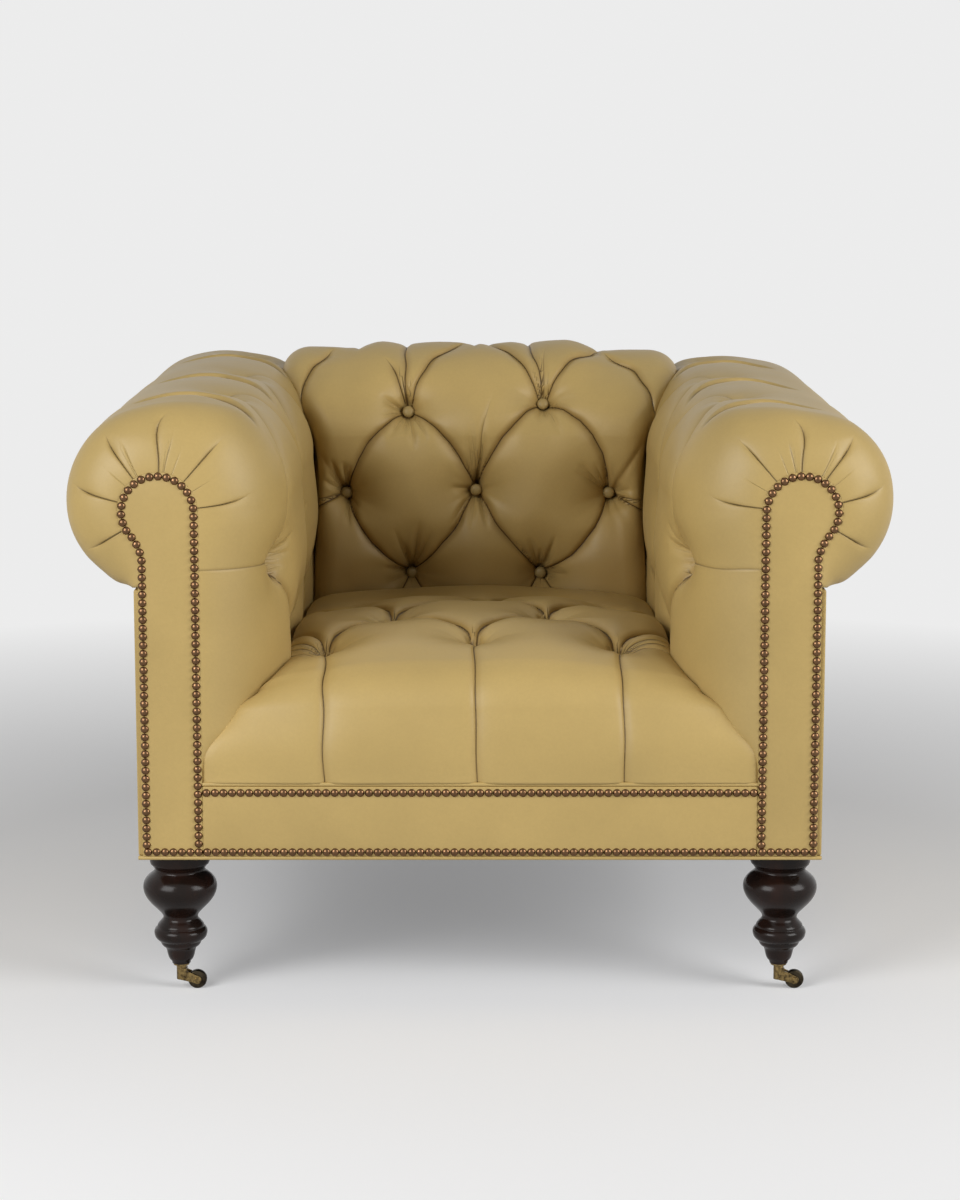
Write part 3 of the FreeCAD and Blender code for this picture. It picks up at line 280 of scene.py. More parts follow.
class Tufting:
    """Tufts, pleats and gathers of one pad, in metres along and across its leather."""

    def __init__(self, seed):
        self.seed = seed
        self.pick = np.random.default_rng(seed)
        self.tufts = []
        self.pleats = []

    def tuft(self, u, v, depth, spread=0.036, flat=0.004, towards=()):
        """A place where the leather is drawn in. Soft gathers run out of it, round each of
        the directions given in degrees: how wide a fan, how many and how long."""
        self.tufts.append((u, v, depth, spread, flat))
        pick = self.pick
        for way, width, count, length in towards:
            for i in range(count):
                turn = math.radians(way + width * ((i + 0.5) / count - 0.5) + pick.uniform(-6, 6))
                reach = length * pick.uniform(0.6, 1.2)
                away = (math.cos(turn), math.sin(turn))
                self.fold([(u + away[0] * t, v + away[1] * t) for t in (0.008, reach)],
                          broad=0.0, sharp=pick.uniform(0.0042, 0.0075), ends=(0.9, 0.9, 0.0),
                          lip=0.0006, width=0.0044, line=0.28)

    def puff(self, u, v, height, scale):
        """How unevenly the padding swells under the leather."""
        return height * waves(u, v, scale, self.seed + 3)

    def pleat(self, start, end, bow=0.0, **values):
        self.fold(bowed(start, end, bow), **values)

    def fold(self, path, broad=0.014, sharp=0.0026, spread=0.026, ends=(1.0, 1.0), lip=0.0014,
             width=0.0046, line=1.0):
        """A pleat along a path, with its strength at even shares of the way. lip is how far
        the leather on one side of it stands over the other, line how wide its crease and how dark
        the painted shade line in it."""
        self.pleats.append((path, broad, sharp, spread, ends, lip, width, line))

    def depth(self, u, v):
        """How far the leather is drawn in at each point, how deep in a fold it is as a mask of
        painted fold shade, and the
        nearest crease: its distance, signed by side, and its strength, which sets its painted shade
        line."""
        total = np.zeros(u.shape)
        narrow = np.zeros(u.shape)
        folds = np.zeros(u.shape)
        crease = np.full(u.shape, NO_CREASE)
        strong = np.zeros(u.shape)
        nearest = np.full(u.shape, 9.0)
        u = u + WANDER * waves(u, v, WANDER_SCALE, self.seed)
        v = v + WANDER * waves(v, u, WANDER_SCALE, self.seed + 1)
        for path, broad, sharp, spread, ends, lip, width, line in self.pleats:
            d, t, side = along_path(u, v, path)
            strength = np.interp(t, np.linspace(0, 1, len(ends)), ends)
            total += (broad * strength * np.exp(-d / spread)) ** BLEND_POWER
            narrow += sharp * strength * np.exp(-(d / width) ** 2)
            narrow += lip * strength * side * np.exp(-d / 0.011) * (1 - np.exp(-d / 0.0016))
            # Painted shade mask along each pleat, for the fold colour.
            folds = np.maximum(folds, strength * np.exp(-(d / 0.009) ** 2) * min(broad / 0.012, 1))
            weighed = d / (0.25 + strength * line)
            closer = weighed < nearest
            nearest = np.where(closer, weighed, nearest)
            wide = max(line, 1.0)
            crease = np.where(closer, side * d / wide, crease)
            strong = np.where(closer, min(line, 1.0) * strength * np.exp(-(d / wide / 0.006) ** 2),
                              strong)
        pulls = np.zeros(u.shape)
        for tu, tv, deep, spread, flat in self.tufts:
            r = np.hypot(u - tu, v - tv)
            total += (deep * np.exp(-np.maximum(r - flat, 0) / spread)) ** BLEND_POWER
            around = np.arctan2(v - tv, u - tu)
            count = self.pick.integers(8, 12)
            ripple = (np.sin(count * around + self.pick.uniform(0, math.tau)
                             + 1.5 * np.sin(2 * around + self.pick.uniform(0, math.tau)))
                      + 0.5 * np.sin((count + 6) * around + self.pick.uniform(0, math.tau)))
            reach = np.exp(-r / 0.024) * (1 - np.exp(-(r / 0.010) ** 2))
            pulls += 0.0010 * ripple * reach * deep / 0.04
            # Painted shade mask in each tuft's pit.
            folds = np.maximum(folds, 1.25 * np.exp(-(r / 0.017) ** 2))
        return total ** (1 / BLEND_POWER) + narrow + pulls, (folds, crease, strong)


def shell_faces(rings, count, start=0):
    """Faces of a closed shell over rings of points, with a flat cap at both ends."""
    faces = []
    for a in range(start, start + (rings - 1) * count, count):
        for j in range(count):
            k = (j + 1) % count
            faces.append((a + j, a + count + j, a + count + k, a + k))
    last = start + (rings - 1) * count
    return faces + [tuple(range(start, start + count)),
                    tuple(range(last + count - 1, last - 1, -1))]


def padded_mesh(name, crest, base, shades):
    """A closed pad. crest is rings x points x 3 over its outside, base a few points a ring
    along its underside, both running the same way."""
    rings, inner = base.shape[:2]
    points = np.concatenate([crest, base[:, ::-1]], axis=1)
    pad = new_object(name, points.reshape(-1, 3), shell_faces(rings, points.shape[1]))
    turn_outwards(pad)
    rests = (0.0, NO_CREASE, 0.0)
    for name, values, rest in zip(("fold", "crease", "crease_near"), shades, rests):
        whole = np.concatenate([values, np.full((rings, inner), rest)], axis=1).ravel()
        shade = pad.data.attributes.new(name, "FLOAT", "POINT")
        shade.data.foreach_set("value", whole.astype(np.float32))
    return pad


def upholstered(name, node, material, lie, u, tall, shades, few, base=None, place=None):
    """A pad whose leather stands tall over its foundation at every u and v. place turns u
    and a place in the section into a place in the chair; few points make the underside."""
    if base is None:
        base = np.broadcast_to(lie.base, (*u.shape, 2))
    if place is None:
        def place(u, at):
            return np.stack([u, at[..., 0], at[..., 1]], axis=2)
    pick = np.linspace(0, lie.count - 1, few).astype(int)
    crest = place(u, base + lie.out * tall[:, :, None])
    pad = padded_mesh(name, crest, place(u[:, pick], base[:, pick]), shades)
    return finish_piece(pad, material, CHAIR, "leather", node)


class Foundation:
    """A padded section: where its leather would lie without tufts, at even steps v along
    it, as a base point, the way out from it and the thickness."""

    def __init__(self, *stretches):
        base = np.concatenate([s[0] for s in stretches])
        out = np.concatenate([s[1] for s in stretches])
        thick = np.concatenate([s[2] for s in stretches])
        crest = base + out * thick[:, None]
        gone = np.concatenate([[0], np.cumsum(np.linalg.norm(np.diff(crest, axis=0), axis=1))])
        self.length = gone[-1]
        self.count = int(self.length / sizes().pad_step)
        self.v = np.linspace(0, self.length, self.count)

        def even(values):
            return np.interp(self.v, gone, values)
        self.base = np.stack([even(base[:, 0]), even(base[:, 1])], axis=1)
        out = np.stack([even(out[:, 0]), even(out[:, 1])], axis=1)
        self.out = out / np.linalg.norm(out, axis=1)[:, None]
        self.thick = even(thick)

    def v_at(self, base_point):
        """The v whose base point is nearest to the one given."""
        return self.v[np.argmin(np.hypot(*(self.base - np.array(base_point)).T))]

    def roll_v(self, roll, turn):
        """The v at degrees round a roll, from the sitter's side."""
        (across, up), radius = roll
        angle = math.radians(turn)
        return self.v_at((across - radius * math.cos(angle), up + radius * math.sin(angle)))


def straight(start, end, out, thickness, count=160):
    """A flat stretch of foundation, with the thickness given at shares of the way."""
    t = np.linspace(0, 1, count)
    start, end = np.array(start), np.array(end)
    base = start + (end - start) * t[:, None]
    return base, np.tile(out, (count, 1)), through(thickness, t)


def rolled(centre, radius, turn, reach, count=260):
    """A stretch round a roll, over a range of degrees from the sitter's side. reach gives
    the distance from the roll's centre to the leather at some of the angles."""
    angle = np.linspace(turn[0], turn[1], count)
    out = np.stack([-np.cos(np.radians(angle)), np.sin(np.radians(angle))], axis=1)
    base = np.array(centre) + out * radius
    return base, out, through(reach, angle) - radius


def eased(size, count):
    """Places that crowd towards a rounded end, with the share of the full height there."""
    turn = np.linspace(0, math.pi / 2, count)
    return size * (1 - np.cos(turn)), np.sin(turn)


def arm_front_rounding(height, turn=0.0):
    """How far back the arm's leather takes to reach its full thickness, and how round it
    swells, at a height above the floor or at degrees round the roll."""
    low = 1 - smoothstep(0.560, 0.640, np.asarray(height, float))
    inner = 1 - smoothstep(0, 95, np.asarray(turn, float))
    return 0.062 + 0.064 * inner + 0.039 * low, 1.02 + 0.16 * inner + 0.27 * low


def arm_inner_thickness(height):
    """Thickness of the arm's padding on its inner face."""
    return through(((0.292, 0.097), (0.400, 0.103), (0.455, 0.107), (0.563, 0.118),
                    (0.644, 0.110)), height)


def arm_foot(depth, height):
    """The share of the padding left where the arm's leather runs out behind the seat."""
    low = 1 - smoothstep(0.300, 0.362, np.asarray(height, float))
    return 1 - low * (1 - smoothstep(0.0, 0.085, depth))


def arm_inner_x(depth, height):
    """How far the arm's inner face stands from the middle of the chair."""
    reach, power = arm_front_rounding(height)
    turn = np.arccos(1 - np.clip(depth / reach, 0, 1))
    rise = np.sin(turn) ** power * arm_foot(depth, height)
    return STEM_INNER_X - arm_inner_thickness(height) * rise


# Heights of the arm's tufts, and how far its leather stands from the roll's centre at some
# of the degrees round it

ARM_ROWS = {"low": 0.442, "middle": 0.565}
ARM_TOP_TURN = 62.0
ARM_FLATTENING = {"left": 0.003, "right": 0.014}
ARM_SEEDS = {"left": 11, "right": 23}
ARM_ROLL_REACH = ((-10, 0.1612), (0, 0.1618), (30, 0.1590), (50, 0.1555), (68.5, 0.1425),
                  (94, 0.1335), (125, 0.1303), (150, 0.1251), (175, 0.1205), (195, 0.1175),
                  (215, 0.1140), (225, 0.1125))

# The arm's gathers at its front: degrees round the roll, length, bow, share of the full
# strength, and how far the far end slides, in millimetres

FRONT_GATHERS = (
    (6, 0.024, -0.10, 1.0, 6), (49, 0.023, 0.03, 1.0, -2), (86, 0.031, 0.34, 1.0, -1),
    (124, 0.025, 0.14, 1.0, 2), (165, 0.023, 0.10, 1.0, -2), (208, 0.020, 0.08, 1.0, 2),
    (80, 0.010, -0.10, 0.5, -4), (118, 0.012, 0.0, 0.45, -3), (30, 0.006, 0.0, 0.3, 0),
    (68, 0.005, 0.0, 0.3, 0), (140, 0.006, 0.0, 0.3, 0),
)

# Where the arm's tufts sit along it, its neck under the roll, the heights between which its
# leather goes over from ending at the back to passing it, its underside, and the crease round
# each tuft of the roll: place, degrees and strength

ARM_COLUMNS = {"low": (0.280, 0.580), "middle": (0.118, 0.430, 0.730)}
ARM_NECK = (0.4527, 0.6144)
PASSES_BACK = (0.600, 0.636)
ARM_UNDERSIDE = ((0, *ARM_NECK), (0.2, 0.4455, 0.6076), (0.4, 0.4404, 0.5999),
                 (0.6, 0.4368, 0.5917), (0.8, 0.4352, 0.5760), (1, 0.4364, 0.5480))
CRESCENT = ((-0.090, 38, 0.0), (-0.048, 50, 0.5), (-0.016, 62, 1.0), (0.0, 75, 1.0),
            (-0.004, 87, 1.0), (-0.022, 99, 0.7), (-0.046, 110, 0.0))


def arm_foundation(lower):
    """The arm's section. lower flattens the top of the roll."""
    z = np.linspace(SCROLL_Z - 0.352, SCROLL_Z, 160)
    inner = (np.stack([np.full(160, STEM_INNER_X), z], axis=1), np.tile((-1.0, 0.0), (160, 1)),
             arm_inner_thickness(z))
    reach = [(turn, r - lower * math.exp(-((turn - 94) / 36) ** 2)) for turn, r in ARM_ROLL_REACH]
    roll = rolled(*ARM_ROLL, (0.5, 215), reach)
    t = np.linspace(0.02, 1, 60)
    base = track(ARM_UNDERSIDE, t)
    x, up = roll[0][-1] + roll[1][-1] * roll[2][-1]
    away = track(((0, x, up), (0.35, x - 0.014, up - 0.0135), (0.7, 0.4680, 0.5480),
                  (1, 0.4475, 0.5440)), t) - base
    thick = np.linalg.norm(away, axis=1)
    return Foundation(inner, roll, (base, away / thick[:, None], thick))


def arm_tufting(lie, seed):
    """The arm's buttonless tufts: two rows on the inner face and one on the roll."""
    def roll_v(turn):
        return lie.roll_v(ARM_ROLL, turn)

    def face_v(height):
        return lie.v_at((STEM_INNER_X, height))

    work = Tufting(seed)
    low, middle, top = face_v(ARM_ROWS["low"]), face_v(ARM_ROWS["middle"]), roll_v(ARM_TOP_TURN)
    for u in ARM_COLUMNS["low"]:
        work.tuft(u, low, 0.040, towards=((90, 90, 4, 0.040), (270, 60, 3, 0.030)))
        work.pleat((u, low), (u + 0.004, 0.0), broad=0.012, ends=(1.0, 0.8), spread=0.022)
    for u in ARM_COLUMNS["middle"]:
        work.tuft(u, middle, 0.049, towards=((50, 90, 8, 0.056), (310, 70, 4, 0.038)))
    for u, nearest in ((0.280, 0.175), (0.580, 0.482), (0.880, 0.815)):
        work.tuft(u - 0.012, top, 0.020, spread=0.030, towards=((250, 60, 3, 0.035),))
        arc = [(nearest + du, roll_v(turn)) for du, turn, _ in CRESCENT]
        work.fold(curved(arc), broad=0.0055, spread=0.018, sharp=0.0060, lip=-0.0070,
                  ends=[share for _, _, share in CRESCENT], line=2.0)
    for u in ARM_COLUMNS["middle"]:
        for away in (-0.150, 0.150):
            if 0.2 < u + away:
                work.pleat((u, middle), (u + away, top), broad=0.0125, bow=0.12 * away / 0.15,
                           lip=0.0022, ends=(1.0, 0.8, 0.35))
            if 0.2 < u + away < 0.7:
                work.pleat((u, middle), (u + away, low), broad=0.014, bow=-0.12 * away / 0.15,
                           lip=-0.0022)
    work.pleat((0.118, middle), (-0.002, face_v(0.5686)), broad=0.0075, sharp=0.0018, spread=0.018,
               ends=(1.0, 0.45, 0.35), lip=0.0006)
    for turn, reach, bow, share, slide in FRONT_GATHERS:
        v = roll_v(turn)
        work.pleat((-0.003, v), (reach, v + slide * 0.001), broad=0.0055 * share, spread=0.013,
                   bow=bow, ends=(share, share, 0.15 * share), lip=0.0014, line=0.9)
    return work


def build_arm(word, side, material):
    """One arm's leather, rounded at the front and closed behind the back's rear face."""
    lie = arm_foundation(ARM_FLATTENING[word])
    work = arm_tufting(lie, ARM_SEEDS[word])
    height = np.where(lie.v <= lie.v_at((STEM_INNER_X, SCROLL_Z)), lie.base[:, 1], 1.0)
    turn = np.degrees(np.arctan2(lie.base[:, 1] - SCROLL_Z, SCROLL_X - lie.base[:, 0])) % 360
    reach, power = arm_front_rounding(height, np.where(height < 1.0, 0.0, turn))
    whole = ARM_REAR_Y - FRONT_Y
    short = BACK_BASE_Y - 0.006 - FRONT_Y
    low, high = (lie.v_at((STEM_INNER_X, z)) for z in PASSES_BACK)
    along = smoothstep(low, high, lie.v)
    end = short + (whole - short) * along
    rear = 0.004 + 0.040 * along
    front_place, front_rise = eased(1.0, FRONT_RINGS)
    rear_place, rear_rise = eased(1.0, REAR_RINGS)
    t = np.linspace(0, 1, int((whole - 0.10) / sizes().pad_step))[1:-1]
    u = np.concatenate([front_place[:, None] * reach, reach + t[:, None] * (end - rear - reach),
                        end - rear_place[::-1, None] * rear])
    rise = np.concatenate([front_rise[:, None] ** power, np.ones((len(t), lie.count)),
                           rear_rise[::-1, None] * along + (1 - along)])
    v = np.tile(lie.v, (len(u), 1))
    sink, shades = work.depth(u, v)
    puff = work.puff(u, v, 0.0014, 0.23)
    body = BODY_REAR_Y - FRONT_Y
    past = smoothstep(body - 0.012, body + 0.006, u)
    under_roll = lie.v_at(ARM_NECK)
    closing = 1 - past * smoothstep(under_roll - 0.035, under_roll + 0.004, lie.v)
    tucked = (past * (lie.v > under_roll))[:, :, None]
    base = lie.base + (np.array(ARM_NECK) - lie.base) * tucked
    thick = lie.thick * rise * closing * np.where(height < 1.0, arm_foot(u, height), 1.0)
    tall = np.maximum(thick - (sink - 0.003 + puff) * np.clip(rise * 1.25 - 0.02, 0, 1), 0.0006)

    def place(u, at):
        return np.stack([side * at[..., 0], FRONT_Y + PAD_SEAM + u, at[..., 1]], axis=2)

    arm = upholstered("arm_leather_" + word, "arm_pad_" + word, material, lie, u, tall, shades,
                      160, base, place)


# How far the back's leather stands from its roll's centre at some of the degrees round it

BACK_ROLL_REACH = ((-8, 0.176), (0, 0.1748), (12, 0.170), (45, 0.150), (70, 0.1365), (92, 0.128),
                   (135, 0.122), (180, 0.1185), (225, 0.112), (250, 0.106), (262, 0.103))

# Each button's x and z, how deep the leather is drawn in there, and the gathers round it:
# direction in degrees, width of the fan, number and length

BUTTONS = (
    (-0.108, 0.711, 0.043, ((90, 60, 3, 0.040), (270, 70, 5, 0.062), (170, 60, 3, 0.040))),
    (0.095, 0.724, 0.043, ((90, 40, 2, 0.040), (280, 60, 3, 0.055), (340, 40, 2, 0.035))),
    (-0.202, 0.577, 0.052, ((110, 80, 5, 0.055), (300, 60, 3, 0.040))),
    (-0.006, 0.584, 0.043, ((90, 50, 5, 0.080), (270, 90, 7, 0.065), (190, 40, 3, 0.036))),
    (0.195, 0.577, 0.052, ((120, 50, 4, 0.060), (310, 100, 6, 0.032), (30, 50, 2, 0.030))),
    (-0.103, 0.455, 0.052, ((90, 60, 4, 0.085), (180, 60, 3, 0.040))),
    (0.092, 0.455, 0.052, ((90, 80, 5, 0.060), (350, 60, 4, 0.040))),
)

# Pleats between two buttons, by their places in BUTTONS: the bow and the lip's side

BUTTON_PLEATS = ((0, 2, -0.10, -1), (0, 3, 0.09, 1), (1, 3, -0.08, -1), (1, 4, 0.16, 1),
                 (5, 2, 0.09, -1), (5, 3, -0.05, 1), (6, 3, 0.03, -1), (6, 4, -0.10, 1))

# One covered button: its radius, its sides, how far it sits under the leather's full height,
# and its dome as shares of the radius and heights

BUTTON_RADIUS = 0.0088
BUTTON_SIDES = 24
BUTTON_SUNK = 0.037
LOW_BUTTON_SUNK = 0.049
BUTTON_DOME = ((0.0, 0.0045), (0.45, 0.0042), (0.75, 0.0032), (0.95, 0.0012), (1.0, -0.0008),
               (0.92, -0.0030), (0.0, -0.0030))


def back_foundation():
    face = straight((BACK_BASE_Y, 0.300), (BACK_BASE_Y, BACK_ROLL_Z), (-1.0, 0.0),
                    ((0.0, 0.107), (0.41, 0.120), (0.62, 0.1235), (0.76, 0.125), (1.0, 0.1228)))
    return Foundation(face, rolled(*BACK_ROLL, (0.5, 250), BACK_ROLL_REACH))


def button_places(lie):
    """Where each button sits along the leather, as (x, v)."""
    crest_z = lie.base[:, 1] + lie.out[:, 1] * lie.thick
    front = lie.v < lie.v_at((BACK_ROLL_Y, BACK_ROLL_Z + BACK_ROLL_RADIUS))
    return [(x, float(np.interp(z, crest_z[front], lie.v[front]))) for x, z, _, _ in BUTTONS]


# Folds that fan out over the back's roll, as x, degrees round the roll and strength

BACK_FANS = (
    ((-0.110, 18, 1.0), (-0.120, 31, 1.0), (-0.1315, 43, 0.8), (-0.146, 53, 0.0)),
    ((-0.109, 18, 1.0), (-0.1126, 37, 0.8), (-0.1113, 82, 0.9), (-0.113, 150, 0.0)),
    ((-0.105, 18, 1.0), (-0.095, 31, 1.0), (-0.084, 42, 1.0), (-0.0676, 56, 1.0),
     (-0.0427, 68, 0.8), (-0.018, 86, 0.0)),
    ((0.090, 22, 1.0), (0.0757, 37, 1.0), (0.0564, 54, 1.0), (0.0253, 75, 1.0), (0.004, 110, 0.2)),
    ((0.093, 22, 1.0), (0.0896, 43, 0.8), (0.0815, 56, 0.8), (0.0748, 90, 0.8), (0.072, 150, 0.0)),
    ((0.096, 22, 0.6), (0.0966, 43, 0.5), (0.0997, 68, 0.0)),
    ((0.099, 22, 1.0), (0.1173, 38.5, 1.0), (0.1373, 51, 1.0), (0.1645, 62, 0.9), (0.190, 82, 0.0)),
    ((-0.272, 20, 0.6), (-0.267, 30, 1.0), (-0.2615, 38.5, 1.0), (-0.2493, 51, 0.9),
     (-0.237, 58, 0.7), (-0.222, 74, 0.0)),
    ((0.262, 15, 0.7), (0.2563, 23, 1.0), (0.2457, 34.5, 1.0), (0.2323, 46, 1.0),
     (0.208, 55.5, 0.8), (0.188, 72, 0.0)),
    ((-0.188, 60, 0.0), (-0.187, 78, 0.9), (-0.187, 110, 0.6), (-0.186, 150, 0.0)),
    ((0.183, 60, 0.0), (0.182, 78, 0.9), (0.182, 110, 0.6), (0.180, 150, 0.0)),
    ((-0.005, 62, 0.0), (-0.007, 78, 0.8), (-0.008, 110, 0.5), (-0.008, 150, 0.0)),
)


def back_tufting(lie, seed):
    """Tufts at the buttons, and the pleats between and round them."""
    work = Tufting(seed)
    places = button_places(lie)
    for (x, v), (_, _, depth, towards) in zip(places, BUTTONS):
        work.tuft(x, v, depth, spread=0.034, flat=0.007, towards=towards)
    for start, end, bow, lip in BUTTON_PLEATS:
        work.pleat(places[start], places[end], broad=0.0165, spread=0.026, bow=bow,
                   lip=lip * 0.0022)
    _, _, left, middle, right, *lowest = places
    for x, v in (left, right):
        side = math.copysign(1.0, x)
        work.pleat((x, v), (x + side * 0.055, v - 0.030), broad=0.013, bow=side * 0.05,
                   ends=(1.0, 0.9), lip=0.0018)
        work.pleat((x, v), (x + side * 0.055, v - 0.010), broad=0.008, ends=(0.8, 0.5))
        work.pleat((x, v), (x + side * 0.075, v + 0.120), broad=0.010, ends=(1.0, 0.5), line=0.0)
    for end, bow, line in (((0.021, lie.roll_v(BACK_ROLL, 27)), 0.03, 0.7),
                           ((-0.0167, middle[1] + 0.105), -0.03, 0.5)):
        work.pleat(middle, end, broad=0.0, sharp=0.0036, bow=bow, ends=(1.0, 0.7, 0.0), line=line)
    for x, v in lowest:
        for away in (-0.09, 0.09):
            work.pleat((x, v), (x + away, v - 0.125), broad=0.013, ends=(1.0, 0.7))
    for fan in BACK_FANS:
        work.fold(curved([(x, lie.roll_v(BACK_ROLL, turn)) for x, turn, _ in fan]), broad=0.0085,
                  spread=0.020, sharp=0.0030, lip=-0.0022 if fan[0][0] > fan[-1][0] else 0.0022,
                  ends=[share for _, _, share in fan])
    return work


def back_half_width(lie):
    """The back's half width, which follows the arms on both sides of it."""
    z = lie.base[:, 1] + lie.out[:, 1] * lie.thick
    front = lie.v < lie.v_at((BACK_ROLL_Y, BACK_ROLL_Z + BACK_ROLL_RADIUS * 0.98))
    shape = through(((0.30, 0.258), (0.45, 0.253), (0.563, 0.244), (0.640, 0.2475),
                     (0.690, 0.262), (0.722, 0.279), (0.750, 0.296), (0.775, 0.304)), z)
    return np.where(front, shape, 0.304)


def side_to_side(lie, half, widest, rounding):
    """The u and v of places over a pad, crowded where its sides round, and the rise there."""
    edge = rounding / widest
    place, rise = eased(edge, SIDE_RINGS)
    count = int(2 * (widest - rounding) / sizes().pad_step)
    middle = np.linspace(-1 + edge, 1 - edge, count)[1:-1]
    share = np.concatenate([-1 + place, middle, 1 - place[::-1]])
    u = share[:, None] * half
    return u, np.tile(lie.v, (len(u), 1)), np.concatenate(
        [rise, np.ones(len(middle)), rise[::-1]])[:, None]


def build_back(material):
    """The back's leather, with painted shade towards the bottom and at the sides by the arms.
    Returns the foundation that its buttons sit on.
    """
    lie = back_foundation()
    work = back_tufting(lie, 31)
    u, v, rise = side_to_side(lie, back_half_width(lie), 0.29, 0.042)
    sink, shades = work.depth(u, v)
    # Painted shade: the fold colour laid over the back, darker towards the bottom and at the sides
    # next to the arms.
    painted_shade = np.clip(0.9 * (1 - smoothstep(0.10, 0.30, v))
                   + 0.6 * smoothstep(0.15, 0.25, abs(u)) * (1 - smoothstep(0.22, 0.42, v)), 0, 1)
    shades = (np.maximum(shades[0], painted_shade), *shades[1:])
    keep = 0.72 - 0.25 * smoothstep(0.30, 0.62, lie.v)
    over = smoothstep(0.38, 0.50, lie.v)
    droop = over * (0.010 * smoothstep(0.15, 0.21, -u) + 0.015 * smoothstep(0.13, 0.20, u))
    thick = (lie.thick - droop) * (keep + (1 - keep) * rise)
    puff = work.puff(u, v, 0.0012, 0.24)
    tall = np.maximum(thick - (sink - 0.004 + puff) * (0.35 + 0.65 * rise), 0.002)
    back = upholstered("back_leather", "back_pad", material, lie, u, tall, shades, 40)
    return lie


def build_buttons(lie, material):
    """Leather-covered domes drawn down into the back."""
    angle = math.tau * np.arange(BUTTON_SIDES) / BUTTON_SIDES
    vertices, faces = [], []
    for x, v in button_places(lie):
        j = int(np.argmin(abs(lie.v - v)))
        out = np.array((0.0, *lie.out[j]))
        deep = lie.thick[j] - (BUTTON_SUNK if v > 0.35 or abs(x) < 0.05 else LOW_BUTTON_SUNK)
        centre = np.array((x, *(lie.base[j] + lie.out[j] * deep)))
        across = (1.0, 0.0, 0.0)
        round_it = np.outer(np.cos(angle), across) + np.outer(np.sin(angle), np.cross(across, out))
        faces += shell_faces(len(BUTTON_DOME), BUTTON_SIDES, len(vertices))
        for r, lift in BUTTON_DOME:
            vertices.extend(centre + out * lift + round_it * BUTTON_RADIUS * r)
    buttons = new_object("back_buttons_covered", vertices, faces)
    turn_outwards(buttons, MERGE)
    finish_piece(buttons, material, CHAIR, "leather_trim", "back_buttons")


# The seat's tufts, row by row: their x, and the row's distance behind the front

SEAT_ROWS = (((-0.205, -0.008, 0.183), 0.157), ((-0.123, 0.093), 0.290),
             ((-0.188, 0.014, 0.190), 0.430), ((-0.100, 0.100), 0.560))
SEAT_CROWN = 0.057


def seat_foundation():
    wall = straight((SEAT_BASE_Y, FRAME_TOP + 0.004), (SEAT_BASE_Y, SEAT_BASE_Z), (-1.0, 0.0),
                    ((0.0, 0.0590), (0.35, 0.0595), (0.7, 0.0570), (1.0, 0.0520)))
    fan = rolled((SEAT_BASE_Y, SEAT_BASE_Z), 0.0, (1, 89),
                 ((0, 0.0520), (25, 0.0498), (50, 0.0505), (72, 0.0535), (90, 0.0590)), 90)
    length = SEAT_REAR_Y - SEAT_BASE_Y
    depth = ((0.060, 0.059), (0.100, 0.072), (0.165, 0.082), (0.250, 0.087), (0.350, 0.087),
             (0.450, 0.078), (0.540, 0.064), (0.667, 0.056))
    shares = tuple(((d - 0.060) / length, t) for d, t in depth)
    top = straight((SEAT_BASE_Y, SEAT_BASE_Z), (SEAT_REAR_Y, SEAT_BASE_Z), (0.0, 1.0), shares, 240)
    return Foundation(wall, fan, top)


def seat_tufting(lie, seed):
    def top_v(depth):
        return lie.v_at((FRONT_Y + depth, SEAT_BASE_Z))

    work = Tufting(seed)
    rows = [[(x, top_v(depth)) for x in places] for places, depth in SEAT_ROWS]
    for row in rows:
        for x, v in row:
            work.tuft(x, v, 0.034, spread=0.032,
                      towards=((90, 70, 3, 0.030), (270, 90, 2, 0.020)))
    for near, far in zip(rows, rows[1:]):
        for x, v in near:
            for fx, fv in far:
                if abs(fx - x) < 0.15:
                    side = math.copysign(1.0, fx - x)
                    work.pleat((x, v), (fx, fv), broad=0.012, spread=0.021, bow=side * 0.15,
                               lip=side * 0.0024)
    for x, v in rows[0]:
        work.pleat((x, v), (x + 0.004, -0.003), broad=0.0060, spread=0.014, ends=(1.0, 0.7),
                   lip=-0.0016)
    for side, x0, x2 in ((-1, rows[0][0], rows[2][0]), (1, rows[0][2], rows[2][2])):
        edge = side * 0.275
        for slide, share in ((-0.004, 1.0), (0.026, 0.7), (0.052, 0.7)):
            work.pleat(x0, (edge, x0[1] + slide), broad=0.009 * share, spread=0.016,
                       bow=side * 0.08, ends=(share, share, 0.3), lip=side * 0.0014)
        work.pleat(x0, (side * 0.262, x0[1] + 0.110), broad=0.012, bow=side * 0.08,
                   ends=(1.0, 0.8))
        work.pleat(x2, (edge, x2[1] - 0.060), broad=0.012, ends=(1.0, 0.8))
        work.pleat(x2, (edge, x2[1] + 0.085), broad=0.012, ends=(1.0, 0.8))
    return work


